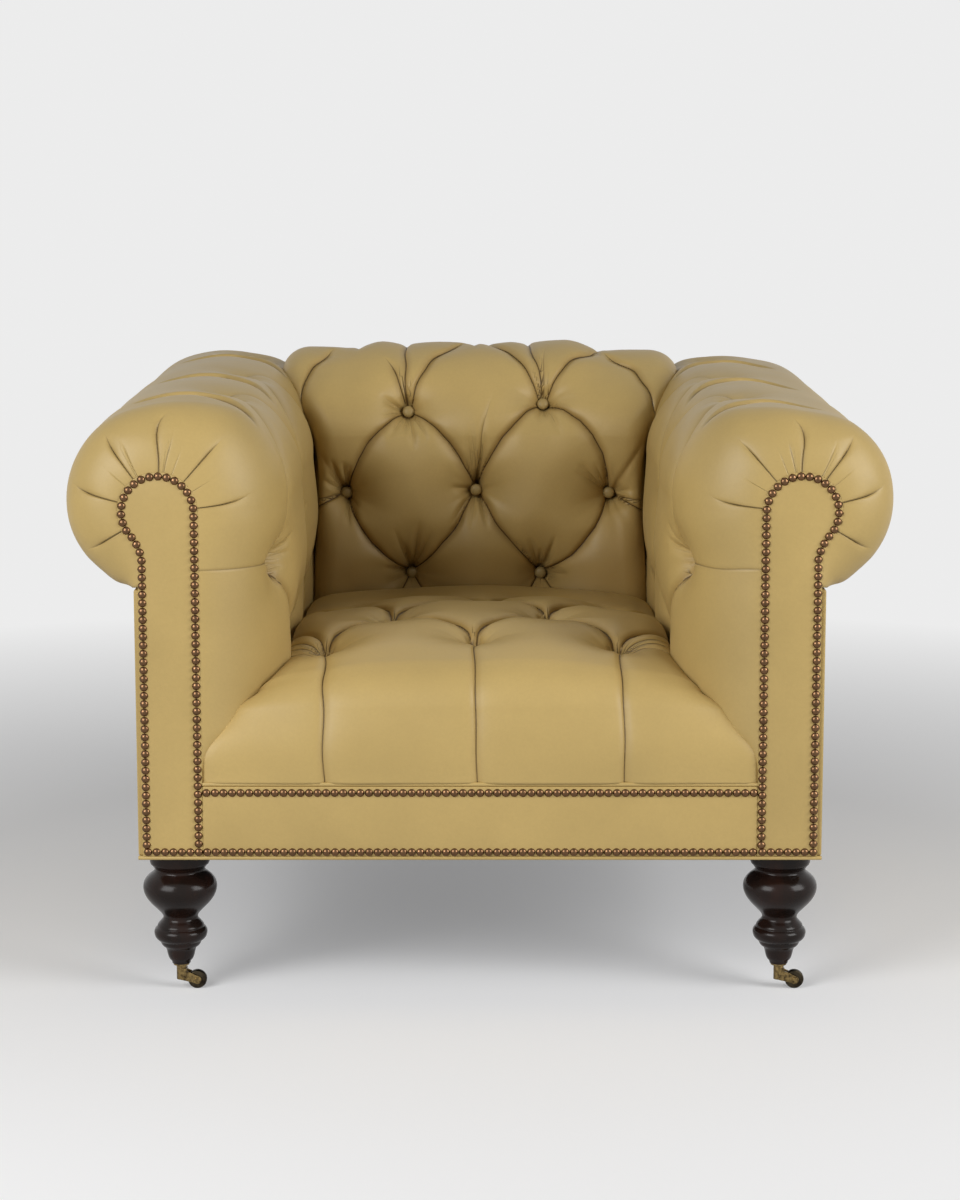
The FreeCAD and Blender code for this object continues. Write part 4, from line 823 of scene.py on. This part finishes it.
def build_seat(material):
    """The seat's leather, which follows the arms on both sides and crowns in the middle."""
    lie = seat_foundation()
    work = seat_tufting(lie, 47)
    fall = SEAT_CROWN * through(((0.0, 0.02), (0.05, 0.10), (0.10, 0.50), (0.16, 0.95),
                                 (0.30, 1.0), (0.6, 1.0), (0.9, 0.8)), lie.v)
    edge = 0.002 + 0.016 * smoothstep(0.03, 0.16, lie.v)
    low = lie.thick - fall * 0.6 - edge * 0.6
    depth = np.maximum(lie.base[:, 0] + lie.out[:, 0] * low - FRONT_Y, 0.0)
    side_z = lie.base[:, 1] + lie.out[:, 1] * low
    half = np.minimum(arm_inner_x(depth, side_z) + 0.004, STEM_INNER_X - PAD_SEAM)
    u, v, rise = side_to_side(lie, half, 0.30, 0.045)
    sink, shades = work.depth(u, v)
    thick = lie.thick - fall * (abs(u) / STEM_INNER_X) ** 2.6 - edge * (1 - rise)
    puff = work.puff(u, v, 0.0010, 0.22)
    soft = np.clip(1.2 * rise + 0.15, 0, 1)
    tall = np.maximum(thick - (sink - 0.003 + puff) * soft, 0.002)
    seat = upholstered("seat_leather", "seat_pad", material, lie, u, tall, shades, 60)


# Finishes

class Nodes:
    """A node tree that takes a node with all that goes into it in one step."""

    def __init__(self, tree):
        self.tree = tree

    def join(self, socket, value):
        """Link another socket to this one, or set its value."""
        if isinstance(value, bpy.types.NodeSocket):
            self.tree.links.new(value, socket)
        else:
            socket.default_value = value

    def add(self, kind, inputs=None, **settings):
        node = self.tree.nodes.new(kind)
        for name, value in settings.items():
            setattr(node, name, value)
        for name, value in (inputs or {}).items():
            self.join(node.inputs[name], value)
        return node

    def maths(self, operation, *values):
        return self.add("ShaderNodeMath", dict(enumerate(values)), operation=operation).outputs[0]

    def read(self, name):
        """A value kept on the mesh."""
        return self.add("ShaderNodeAttribute", attribute_name=name).outputs["Fac"]

    def texture(self, kind, scale, stretch=(1.0, 1.0, 1.0), output="Fac", **inputs):
        """A procedural texture on Object coordinates."""
        where = self.add("ShaderNodeTexCoord").outputs["Object"]
        turn = self.add("ShaderNodeMapping", {"Vector": where, "Scale": stretch})
        inputs = {name.title(): value for name, value in inputs.items()}
        return self.add("ShaderNodeTex" + kind, {
            "Vector": turn.outputs["Vector"], "Scale": scale, **inputs}).outputs[output]

    def ramp(self, source, low, high, first=0.0, last=1.0):
        """Maps a texture's value from one range to another."""
        return self.add("ShaderNodeMapRange", {
            "Value": source, "From Min": low, "From Max": high, "To Min": first,
            "To Max": last}).outputs["Result"]

    def mixed(self, factor, *colours):
        """Two colours, or colour sockets, mixed by a factor."""
        first, second = (value if isinstance(value, bpy.types.NodeSocket) else (*value, 1.0)
                         for value in colours)
        return self.add("ShaderNodeMix", {"Factor": factor, 6: first, 7: second},
                        data_type="RGBA").outputs[2]

    def bumped(self, height, distance, strength, **under):
        return self.add("ShaderNodeBump", {"Height": height, "Distance": distance,
                                           "Strength": strength, **under}).outputs["Normal"]


def made_once(name, paint):
    """The material of this name. paint gives the shader's inputs, the first time only."""
    material = bpy.data.materials.get(name)
    if not material:
        material = bpy.data.materials.new(name)
        material.use_nodes = True
        nodes = Nodes(material.node_tree)
        for socket, value in paint(nodes).items():
            nodes.join(material.node_tree.nodes["Principled BSDF"].inputs[socket], value)
    return material


def scaled(colour, share):
    return tuple(c * share for c in colour)


def leather(name="leather_gold", share=1.0):
    """Aniline-dyed hide: mottled colour, painted shade in its folds, pits and creases, fine grain
    and broad soft sheen.
    """
    def paint(nodes):
        lit = scaled(sizes().leather_colour, share)
        mottle = nodes.texture("Noise", 7.0, detail=4.0, roughness=0.55)
        colour = nodes.mixed(nodes.ramp(mottle, 0.35, 0.68), scaled(lit, 0.94), scaled(lit, 1.04))
        speck = nodes.texture("Noise", 260.0, detail=3.0, roughness=0.6)
        colour = nodes.mixed(nodes.ramp(speck, 0.30, 0.75, 0.0, 0.16), colour, scaled(lit, 0.72))
        # Painted shade: the fold colour mixed in by the fold mask, in folds, pits and the low back.
        down = nodes.ramp(nodes.read("fold"), 0.15, 1.0, 0.0, 0.65)
        colour = nodes.mixed(down, colour, scaled(sizes().fold_shade_colour, share))
        line, groove = crease(nodes)
        grain = nodes.texture("Voronoi", 620.0, output="Distance")
        wrinkle = nodes.texture("Noise", 42.0, detail=3.0, distortion=0.8)
        normal = nodes.bumped(grain, 0.00010, 0.35)
        normal = nodes.bumped(wrinkle, 0.0008, 0.35, Normal=normal)
        # Painted shade: a thin near-black line down each pleat's crease.
        return {"Base Color": nodes.mixed(line, colour, (0.060, 0.030, 0.006)),
                "Roughness": nodes.ramp(mottle, 0.3, 0.7, 0.40, 0.48),
                "Specular IOR Level": 0.34,
                "Normal": nodes.bumped(groove, 0.0022, 1.0, Normal=normal)}
    return made_once(name, paint)


def crease(nodes):
    """The thin dark line of painted shade down a pleat, and the height of the leather folding into
    it.
    """
    away = nodes.maths("ABSOLUTE", nodes.read("crease"))
    near = nodes.read("crease_near")
    line = nodes.maths("MULTIPLY", nodes.ramp(away, 0.0003, 0.0013, 1.0, 0.0),
                       nodes.ramp(near, 0.1, 0.8, 0.0, 0.9))
    fold = nodes.maths("POWER", nodes.ramp(away, 0.0, 0.0036, 1.0, 0.0), 1.6)
    return line, nodes.maths("SUBTRACT", 1.0, nodes.maths("MULTIPLY", fold, near))


def grained(name, colours, band, rough, bump, scale, stretch=(1.0, 1.0, 1.0), extra=None,
            **noise):
    """A finish whose colour and height follow one noise. rough is one value or a range."""
    def paint(nodes):
        grain = nodes.texture("Noise", scale, stretch, **noise)
        if isinstance(rough, tuple):
            roughness = nodes.ramp(grain, 0.3, 0.7, *rough)
        else:
            roughness = rough
        return {"Base Color": nodes.mixed(nodes.ramp(grain, *band), *colours),
                "Roughness": roughness, "Normal": nodes.bumped(grain, *bump), **(extra or {})}
    return made_once(name, paint)


def wood():
    """Planed hardwood with grain along its length."""
    return grained("frame_hardwood", ((0.62, 0.46, 0.28), (0.46, 0.31, 0.17)), (0.35, 0.65), 0.62,
                   (0.0004, 0.4), 30.0, (1.0, 1.0, 8.0), detail=5.0, distortion=1.2)


def ebonised():
    """Black-brown lacquered turning, a little redder where the grain shows through."""
    def paint(nodes):
        dark = tuple(sizes().leg_colour)
        redder = (dark[0] * 2.2, dark[1] * 1.5, dark[2] * 1.3)
        grain = nodes.texture("Noise", 34.0, (1.0, 1.0, 0.12), detail=5.0, distortion=0.8)
        smear = nodes.texture("Noise", 60.0, detail=3.0)
        return {"Base Color": nodes.mixed(nodes.ramp(grain, 0.40, 0.72), dark, redder),
                "Roughness": nodes.ramp(smear, 0.3, 0.7, 0.16, 0.26), "Specular IOR Level": 0.20,
                "Normal": nodes.bumped(grain, 0.0002, 0.25)}
    return made_once("ebonised_leg", paint)


def metal(name, bright, dull, rough, scale=90.0):
    """Metal with tarnish in soft patches."""
    return grained(name, (bright, dull), (0.38, 0.66), rough, (0.0002, 0.3), scale,
                   extra={"Metallic": 1.0}, detail=4.0, roughness=0.6)


def nail_bronze():
    dark = tuple(sizes().nail_colour)
    return metal("nail_bronze", scaled(dark, 1.1), scaled(dark, 0.8), (0.22, 0.32), 60.0)


def caster_brass():
    return metal("caster_brass", (0.30, 0.21, 0.085), (0.055, 0.038, 0.020), (0.22, 0.40), 220.0)


def bolt_steel():
    return metal("bolt_steel", (0.50, 0.49, 0.47), (0.34, 0.33, 0.32), (0.3, 0.45))


def wheel_dark():
    return metal("wheel_dark_brass", (0.060, 0.048, 0.030), (0.018, 0.014, 0.010), (0.3, 0.5))


def woven(name, warp, weft, pitch):
    """A plain weave of two threads."""
    def paint(nodes):
        waves_a_metre = 1.0 / pitch / 6.3
        cloth = nodes.maths("MULTIPLY", nodes.texture("Wave", waves_a_metre, (1.0, 0.0, 1.0)),
                            nodes.texture("Wave", waves_a_metre, (0.0, 1.0, 1.0)))
        return {"Base Color": nodes.mixed(cloth, warp, weft), "Roughness": 0.9,
                "Normal": nodes.bumped(cloth, 0.0004, 0.5)}
    return made_once(name, paint)


def webbing():
    return woven("jute_webbing", (0.45, 0.34, 0.22), (0.30, 0.22, 0.13), 0.0022)


def cambric():
    return woven("black_cambric", (0.045, 0.045, 0.05), (0.02, 0.02, 0.024), 0.0008)


def padding():
    """Felted cotton padding."""
    return grained("felted_padding", ((0.80, 0.76, 0.62), (0.66, 0.61, 0.48)), (0.35, 0.65), 0.95,
                   (0.0010, 0.6), 180.0, detail=6.0, roughness=0.7)


# Pieces that keep the frame's shape

def merged_copy(node, name):
    """A joined copy of one of the frame's pieces, which are loose triangles."""
    mesh = frame["nodes"][node].data.copy()
    with edited(mesh) as work:
        bmesh.ops.remove_doubles(work, verts=work.verts, dist=FRAME_MERGE)
        bmesh.ops.dissolve_limit(work, angle_limit=FLAT, verts=work.verts, edges=work.edges)
    mesh.materials.clear()
    return placed(name, mesh)


def softened(thing, width, segments=3, angle=EDGE_ANGLE):
    """Rounded edges, where two faces meet at more than this many degrees."""
    bevel = thing.modifiers.new("edge", "BEVEL")
    bevel.width = width
    bevel.segments = segments
    bevel.limit_method = "ANGLE"
    bevel.angle_limit = math.radians(angle)
    bevel.harden_normals = True
    thing.data.polygons.foreach_set("use_smooth", [True] * len(thing.data.polygons))
    return thing


def dressed(node, name, body, slot, material, width, angle=EDGE_ANGLE):
    """The frame's own piece with rounded edges and a finish."""
    thing = softened(merged_copy(node, name), width, angle=angle)
    return finish_piece(thing, material, body, slot, node)


def panel(node, name, width, angle=EDGE_ANGLE):
    """A flat leather panel or a welt."""
    return dressed(node, name, CHAIR, "leather_trim", leather(), width, angle)


def build_dust_cover(material):
    """Black cambric tacked tight under the frame, cut round the four legs."""
    cover = merged_copy("dust_cover", "cambric_sheet")
    with edited(cover.data) as work:
        drop = [face for face in work.faces if face.normal.z > -FACING]
        bmesh.ops.delete(work, geom=drop, context="FACES")
        area = sum(face.calc_area() for face in work.faces)
    cloth = cover.modifiers.new("cloth", "SOLIDIFY")
    cloth.thickness = CAMBRIC_THICKNESS
    cloth.offset = -1.0
    finish_piece(cover, material, CHAIR, "dust_cloth", "dust_cover")


def front_outline(node, inset):
    """The outline of a panel's front face, drawn in by an inset, as (x, z) places."""
    copy = merged_copy(node, "outline_helper")
    with edited(copy.data) as work:
        work.verts.ensure_lookup_table()
        edges = [edge for face in work.faces if face.normal.y < -FACING
                 and min(v.co.y for v in face.verts) < FRONT_Y + 0.0005 for edge in face.edges]
        follow = {}
        for edge in edges:
            if edges.count(edge) == 1:
                a, b = (v.index for v in edge.verts)
                follow.setdefault(a, []).append(b)
                follow.setdefault(b, []).append(a)
        start = min(follow, key=lambda i: (work.verts[i].co.z, work.verts[i].co.x))
        loop, last = [start], None
        while True:
            step = [i for i in follow[loop[-1]] if i != last][0]
            last = loop[-1]
            if step == start:
                break
            loop.append(step)
        points = np.array([(work.verts[i].co.x, work.verts[i].co.z) for i in loop])
    bpy.data.objects.remove(copy)
    x, z = points.T
    if (x * np.roll(z, -1) - z * np.roll(x, -1)).sum() < 0:
        points = points[::-1]

    def unit(steps):
        return steps / np.linalg.norm(steps, axis=1)[:, None]
    after = unit(np.roll(points, -1, axis=0) - points)
    mitre = unit(unit(points - np.roll(points, 1, axis=0)) + after)
    cosine = np.clip((mitre * after).sum(axis=1), 0.5, 1.0)
    inward = np.stack([-mitre[:, 1], mitre[:, 0]], axis=1)
    return points + inward * (inset / cosine)[:, None]


def front_path(name, points, closed):
    """A path of straight steps across the chair's front, which the nailheads follow."""
    curve = bpy.data.curves.new(name, "CURVE")
    curve.dimensions = "3D"
    spline = curve.splines.new("POLY")
    spline.points.add(len(points) - 1)
    for place, (x, z) in zip(spline.points, points):
        place.co = (x, FRONT_Y + NAIL_SEAT, z, 1.0)
    spline.use_cyclic_u = closed
    return placed(name, curve)


def nail_tree(material):
    """Nodes that set domed nailheads along a path."""
    tree = bpy.data.node_groups.new("nailheads", "GeometryNodeTree")
    for name, way, kind in (("Path", "INPUT", "Geometry"), ("Pitch", "INPUT", "Float"),
                            ("Diameter", "INPUT", "Float"), ("Height", "INPUT", "Float"),
                            ("Nails", "OUTPUT", "Geometry")):
        tree.interface.new_socket(name, in_out=way, socket_type="NodeSocket" + kind)
    nodes = Nodes(tree)
    given = nodes.add("NodeGroupInput").outputs
    points = nodes.add("GeometryNodeCurveToPoints", {"Curve": given["Path"],
                                                     "Length": given["Pitch"]}, mode="LENGTH")
    ball = nodes.add("GeometryNodeMeshUVSphere", {
        "Segments": NAIL_SEGMENTS, "Rings": NAIL_RINGS, "Radius": 0.5})
    shape = nodes.add("ShaderNodeCombineXYZ", {
        "X": given["Diameter"], "Y": given["Diameter"],
        "Z": nodes.maths("MULTIPLY", given["Height"], 2.0)})
    flat = nodes.add("GeometryNodeTransform", {"Geometry": ball.outputs["Mesh"],
                                               "Scale": shape.outputs["Vector"]})
    smooth = nodes.add("GeometryNodeSetShadeSmooth", {"Geometry": flat.outputs["Geometry"]})
    upright = nodes.add("GeometryNodeTransform", {"Geometry": smooth.outputs["Geometry"],
                                                  "Rotation": (math.pi / 2, 0.0, 0.0)})
    turn = nodes.add("FunctionNodeRandomValue", {
        0: scaled(NAIL_TILT, -1), 1: NAIL_TILT, "Seed": 5}, data_type="FLOAT_VECTOR")
    many = nodes.add("GeometryNodeInstanceOnPoints", {
        "Points": points.outputs["Points"], "Instance": upright.outputs["Geometry"],
        "Rotation": turn.outputs[0]})
    real = nodes.add("GeometryNodeRealizeInstances", {"Geometry": many.outputs["Instances"]})
    paint = nodes.add("GeometryNodeSetMaterial", {"Geometry": real.outputs["Geometry"],
                                                  "Material": material})
    nodes.add("NodeGroupOutput", {"Nails": paint.outputs["Geometry"]})
    return tree


def run_nodes(thing, tree, values, name):
    """The mesh that a node tree makes from an object, as a new object in its place."""
    modifier = thing.modifiers.new("nodes", "NODES")
    modifier.node_group = tree
    for socket in tree.interface.items_tree:
        if socket.in_out == "INPUT" and socket.name in values:
            modifier[socket.identifier] = values[socket.name]
    bpy.context.view_layer.update()
    evaluated = thing.evaluated_get(bpy.context.evaluated_depsgraph_get())
    made = placed(name, bpy.data.meshes.new_from_object(evaluated))
    bpy.data.objects.remove(thing)
    return made


def even_pitch(points, closed, pitch):
    """The pitch nearest to the one asked for that fits a path a whole number of times. It is
    a hair less, so that the last nail isn't lost."""
    ring = np.vstack([points, points[:1]]) if closed else np.asarray(points)
    length = np.linalg.norm(np.diff(ring, axis=0), axis=1).sum()
    return length / max(round(length / pitch), 1) * 0.99999


# Turned leg: height and radius as shares of the leg's height and widest radius

LEG_PROFILE = (
    (0.000, 0.245), (0.022, 0.262), (0.040, 0.318), (0.057, 0.345),
    (0.075, 0.362), (0.092, 0.376), (0.115, 0.392), (0.139, 0.417), (0.146, 0.450),
    (0.153, 0.488), (0.166, 0.525), (0.186, 0.556), (0.197, 0.564), (0.201, 0.575),
    (0.207, 0.625), (0.217, 0.660), (0.232, 0.695), (0.250, 0.714), (0.270, 0.722),
    (0.286, 0.714), (0.300, 0.690), (0.311, 0.645), (0.315, 0.630), (0.322, 0.634),
    (0.332, 0.626), (0.342, 0.605), (0.352, 0.575), (0.358, 0.560), (0.363, 0.546),
    (0.372, 0.514), (0.385, 0.480), (0.400, 0.466), (0.420, 0.488), (0.443, 0.540),
    (0.466, 0.614), (0.490, 0.692), (0.520, 0.790), (0.548, 0.865), (0.578, 0.930),
    (0.607, 0.972), (0.630, 0.992), (0.653, 1.000), (0.676, 0.994), (0.700, 0.974),
    (0.724, 0.930), (0.747, 0.865), (0.764, 0.795), (0.776, 0.742), (0.786, 0.704),
    (0.794, 0.688), (0.803, 0.680), (0.811, 0.682), (0.822, 0.705), (0.832, 0.728),
    (0.838, 0.736), (0.842, 0.752), (0.852, 0.790), (0.864, 0.806), (0.880, 0.812),
    (0.985, 0.812), (1.000, 0.806),
)


def build_leg(corner, material):
    """A leg turned from the profile, its sharpest steps a little rounded."""
    low, high = np.array(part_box("leg_" + corner))
    (x, y, _), radius = (low + high) / 2, (high[0] - low[0]) / 2
    share, wide = np.array(LEG_PROFILE).T
    sides = sizes().leg_sides
    angle = math.tau * np.arange(sides) / sides
    points = np.stack([x + radius * np.outer(wide, np.cos(angle)),
                       y + radius * np.outer(wide, np.sin(angle)),
                       np.tile(low[2] + (high[2] - low[2]) * share, (sides, 1)).T], axis=2)
    leg = new_object("turned_leg_" + corner, points.reshape(-1, 3), shell_faces(len(wide), sides))
    turn_outwards(leg, MERGE)
    softened(leg, 0.0007, 2, 38.0)
    finish_piece(leg, material, CHAIR, "ebonised_wood", "leg_" + corner)


# Operators, one for each group of pieces

class CHAIR_OT_materials(bpy.types.Operator):
    """Give the frame's own pieces their finishes"""
    bl_idname = "chair.materials"
    bl_label = "Frame finishes"

    def execute(self, context):
        finishes = {
            "frame_wood": wood(), "leather": leather(), "leather_trim": leather(),
            "webbing": webbing(), "foam": padding(), "dust_cloth": cambric(),
            "ebonised_wood": ebonised(), "aged_brass": caster_brass(), "steel": bolt_steel(),
            "wheel": wheel_dark(),
        }
        for part in frame["record"]["subparts"]:
            for place in frame["nodes"][part["node"]].material_slots:
                place.material = finishes[part["material_slot"]]
        return {"FINISHED"}


class CHAIR_OT_arms(bpy.types.Operator):
    """Tuft and gather the two rolled arms"""
    bl_idname = "chair.arms"
    bl_label = "Rolled arms"

    def execute(self, context):
        for word, side in SIDES.items():
            build_arm(word, side, leather())
        return {"FINISHED"}


class CHAIR_OT_back(bpy.types.Operator):
    """Tuft the back and set its covered buttons"""
    bl_idname = "chair.back"
    bl_label = "Buttoned back"

    def execute(self, context):
        # The buttons get a darker copy of the leather: painted shade for the pits they sit in.
        build_buttons(build_back(leather()), leather("leather_gold_button_shaded", 0.66))
        return {"FINISHED"}


class CHAIR_OT_seat(bpy.types.Operator):
    """Tuft the tight seat"""
    bl_idname = "chair.seat"
    bl_label = "Tufted seat"

    def execute(self, context):
        build_seat(leather())
        return {"FINISHED"}


class CHAIR_OT_panels(bpy.types.Operator):
    """Stretch the flat leather panels and sew the welts"""
    bl_idname = "chair.panels"
    bl_label = "Panels and welts"

    def execute(self, context):
        for word, side in SIDES.items():
            panel("arm_front_panel_" + word, "scroll_panel_" + word, 0.0007)
            outside = panel("outside_arm_panel_" + word, "arm_outside_" + word, 0.0018)
            for vertex in outside.data.vertices:
                if abs(vertex.co.x) < OUTER_X - OUTSIDE_PANEL_DEPTH:
                    vertex.co.x = side * OUTSIDE_PANEL_INNER_X
            panel("rear_scroll_facing_" + word, "scroll_rear_" + word, 0.0018)
        panel("front_border_panel", "border_panel", 0.0016)
        back = panel("outside_back_panel", "back_outside", 0.0018)
        top = max(v.co.z for v in back.data.vertices)
        for vertex in back.data.vertices:
            if vertex.co.z > top - BACK_PANEL_TOP:
                vertex.co.z += BACK_PANEL_TUCK
        build_dust_cover(cambric())
        panel("base_welt", "welt_base", 0.0008, WELT_ANGLE)
        panel("seat_welt", "welt_seat", 0.0008, WELT_ANGLE)
        return {"FINISHED"}


class CHAIR_OT_nails(bpy.types.Operator):
    """Drive the rows of domed nailheads"""
    bl_idname = "chair.nails"
    bl_label = "Nailheads"

    def execute(self, context):
        size = sizes()
        tree = nail_tree(nail_bronze())
        inset = size.nail_inset
        rows = [("nails_arm_" + word, front_outline("arm_front_panel_" + word, inset), True)
                for word in SIDES]
        reach = STEM_INNER_X - inset
        for name, z in (("nails_border_top", TOP_NAILS_Z),
                        ("nails_border_base", FRAME_BOTTOM + inset)):
            rows.append((name, np.array([(-reach, z), (reach, z)]), False))
        for name, points, closed in rows:
            nails = run_nodes(front_path(name + "_path", points, closed), tree, {
                "Pitch": even_pitch(points, closed, size.nail_pitch),
                "Diameter": size.nail_diameter, "Height": size.nail_height}, name)
            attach(nails, CHAIR)
        return {"FINISHED"}


class CHAIR_OT_legs(bpy.types.Operator):
    """Turn the four legs"""
    bl_idname = "chair.legs"
    bl_label = "Turned legs"

    def execute(self, context):
        for corner in CORNERS:
            build_leg(corner, ebonised())
        return {"FINISHED"}


class CHAIR_OT_casters(bpy.types.Operator):
    """Polish and soften the casters"""
    bl_idname = "chair.casters"
    bl_label = "Casters"

    def execute(self, context):
        for corner in CORNERS:
            for node, name, body, slot, material, width in (
                    ("caster_fork_", "fork_", "caster_", "aged_brass", caster_brass(), 0.0004),
                    ("caster_axle_", "axle_", "caster_", "aged_brass", caster_brass(), 0.0003),
                    ("caster_wheel_", "wheel_tyre_", "wheel_", "wheel", wheel_dark(), 0.0004)):
                dressed(node + corner, name + corner, body + corner, slot, material, width)
        return {"FINISHED"}


class CHAIR_OT_stage(bpy.types.Operator):
    """Floor, backdrop, lamps and camera"""
    bl_idname = "chair.stage"
    bl_label = "Stage"

    def execute(self, context):
        build_stage()
        build_lights()
        build_camera()
        return {"FINISHED"}


BACKGROUND = 0.840
FLOOR_GLOW = 0.212
FLOOR = 60
FLOOR_FADE = (0.9, 2.6)
WORLD_GLOW = 0.09
LAMP_AIM_Z = 0.45
LAMP_RISE = 20.0
LAMP_DISTANCE = 3.4
LAMP_SIZE = (1.8, 1.9)
CAMERA_DISTANCE = 3.7
CAMERA_Z = 1.143
CAMERA_PITCH = 9.39
CAMERA_LENS = 88.08
CAMERA_SENSOR = 36.0


def seen_directly(nodes):
    """1 for rays from the camera and for what glossy and clear things show, else 0."""
    path = nodes.add("ShaderNodeLightPath").outputs
    return nodes.maths("MAXIMUM", nodes.maths("MAXIMUM", path["Is Camera Ray"],
                                              path["Is Glossy Ray"]), path["Is Transmission Ray"])


def build_stage():
    """A wide pale floor that melts into the background and keeps the chair's shadow."""
    corners = [(-FLOOR, -FLOOR, 0), (FLOOR, -FLOOR, 0), (FLOOR, FLOOR, 0), (-FLOOR, FLOOR, 0)]
    floor = new_object("studio_floor", corners, [(0, 1, 2, 3)])

    def paint(nodes):
        seen = seen_directly(nodes)
        glow = nodes.add("ShaderNodeEmission", {
            "Strength": nodes.maths("MULTIPLY", seen, BACKGROUND)})
        where = nodes.add("ShaderNodeTexCoord").outputs["Object"]
        far = nodes.add("ShaderNodeVectorMath", {0: where}, operation="LENGTH").outputs["Value"]
        blend = nodes.add("ShaderNodeMixShader", {
            "Fac": nodes.ramp(far, *FLOOR_FADE), 2: glow.outputs["Emission"],
            1: nodes.tree.nodes["Principled BSDF"].outputs["BSDF"]})
        nodes.join(nodes.tree.nodes["Material Output"].inputs["Surface"], blend.outputs["Shader"])
        return {"Base Color": (0.72, 0.72, 0.724, 1.0), "Roughness": 0.9,
                "Specular IOR Level": 0.1, "Emission Color": (1.0, 1.0, 1.005, 1.0),
                "Emission Strength": nodes.maths("MULTIPLY", seen, FLOOR_GLOW)}
    floor.data.materials.append(made_once("floor_paper", paint))


def lamp(name, turn, power):
    """A soft box that looks at the chair, at degrees round it from its front."""
    light = bpy.data.lights.new(name, "AREA")
    light.shape = "RECTANGLE"
    light.size, light.size_y = LAMP_SIZE
    light.energy = power
    thing = placed(name, light)
    a, b = math.radians(turn), math.radians(LAMP_RISE)
    reach = LAMP_DISTANCE * math.cos(b)
    thing.location = (reach * math.sin(a), -reach * math.cos(a),
                      LAMP_AIM_Z + LAMP_DISTANCE * math.sin(b))
    thing.rotation_euler = (math.pi / 2 - b, 0.0, a)


def build_lights():
    """Two soft boxes and a world that is dim where only the chair sees it."""
    world = bpy.data.worlds.new("studio")
    bpy.context.scene.world = world
    world.use_nodes = True
    nodes = Nodes(world.node_tree)
    back = world.node_tree.nodes["Background"].inputs
    back["Color"].default_value = (1.0, 1.0, 1.0, 1.0)
    nodes.join(back["Strength"], nodes.ramp(seen_directly(nodes), 0.0, 1.0, WORLD_GLOW,
                                           BACKGROUND))
    lamp("left_box", -38.0, 76.0)
    lamp("right_box", 55.0, 73.0)


def build_camera():
    lens = bpy.data.cameras.new("camera")
    lens.lens = CAMERA_LENS
    lens.sensor_width = CAMERA_SENSOR
    camera = placed("camera", lens)
    camera.location = (0.0, FRONT_Y - CAMERA_DISTANCE, CAMERA_Z)
    camera.rotation_euler = (math.radians(90 - CAMERA_PITCH), 0.0, 0.0)
    bpy.context.scene.camera = camera
    bpy.context.scene.view_settings.view_transform = "Standard"


class CHAIR_PT_sidebar(bpy.types.Panel):
    """Lists the steps that dress the chair"""
    bl_idname = "CHAIR_PT_sidebar"
    bl_label = "Tufted Club Chair"
    bl_space_type = "VIEW_3D"
    bl_region_type = "UI"
    bl_category = "Chair"

    def draw(self, context):
        column = self.layout.column()
        for name in ChairSizes.__annotations__:
            column.prop(context.scene.chair_sizes, name)
        for step in STEPS:
            column.operator(step.bl_idname)


STEPS = (CHAIR_OT_stage, CHAIR_OT_materials, CHAIR_OT_arms, CHAIR_OT_back, CHAIR_OT_seat,
         CHAIR_OT_panels, CHAIR_OT_nails, CHAIR_OT_legs, CHAIR_OT_casters)
CLASSES = (ChairSizes, *STEPS, CHAIR_PT_sidebar)


def register():
    for thing in CLASSES:
        bpy.utils.register_class(thing)
    bpy.types.Scene.chair_sizes = PointerProperty(type=ChairSizes)


def unregister():
    del bpy.types.Scene.chair_sizes
    for thing in reversed(CLASSES):
        bpy.utils.unregister_class(thing)


def main():
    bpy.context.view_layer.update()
    register()
    for step in STEPS:
        group, name = step.bl_idname.split(".")
        getattr(getattr(bpy.ops, group), name)()


if __name__ == "__main__":
    main()
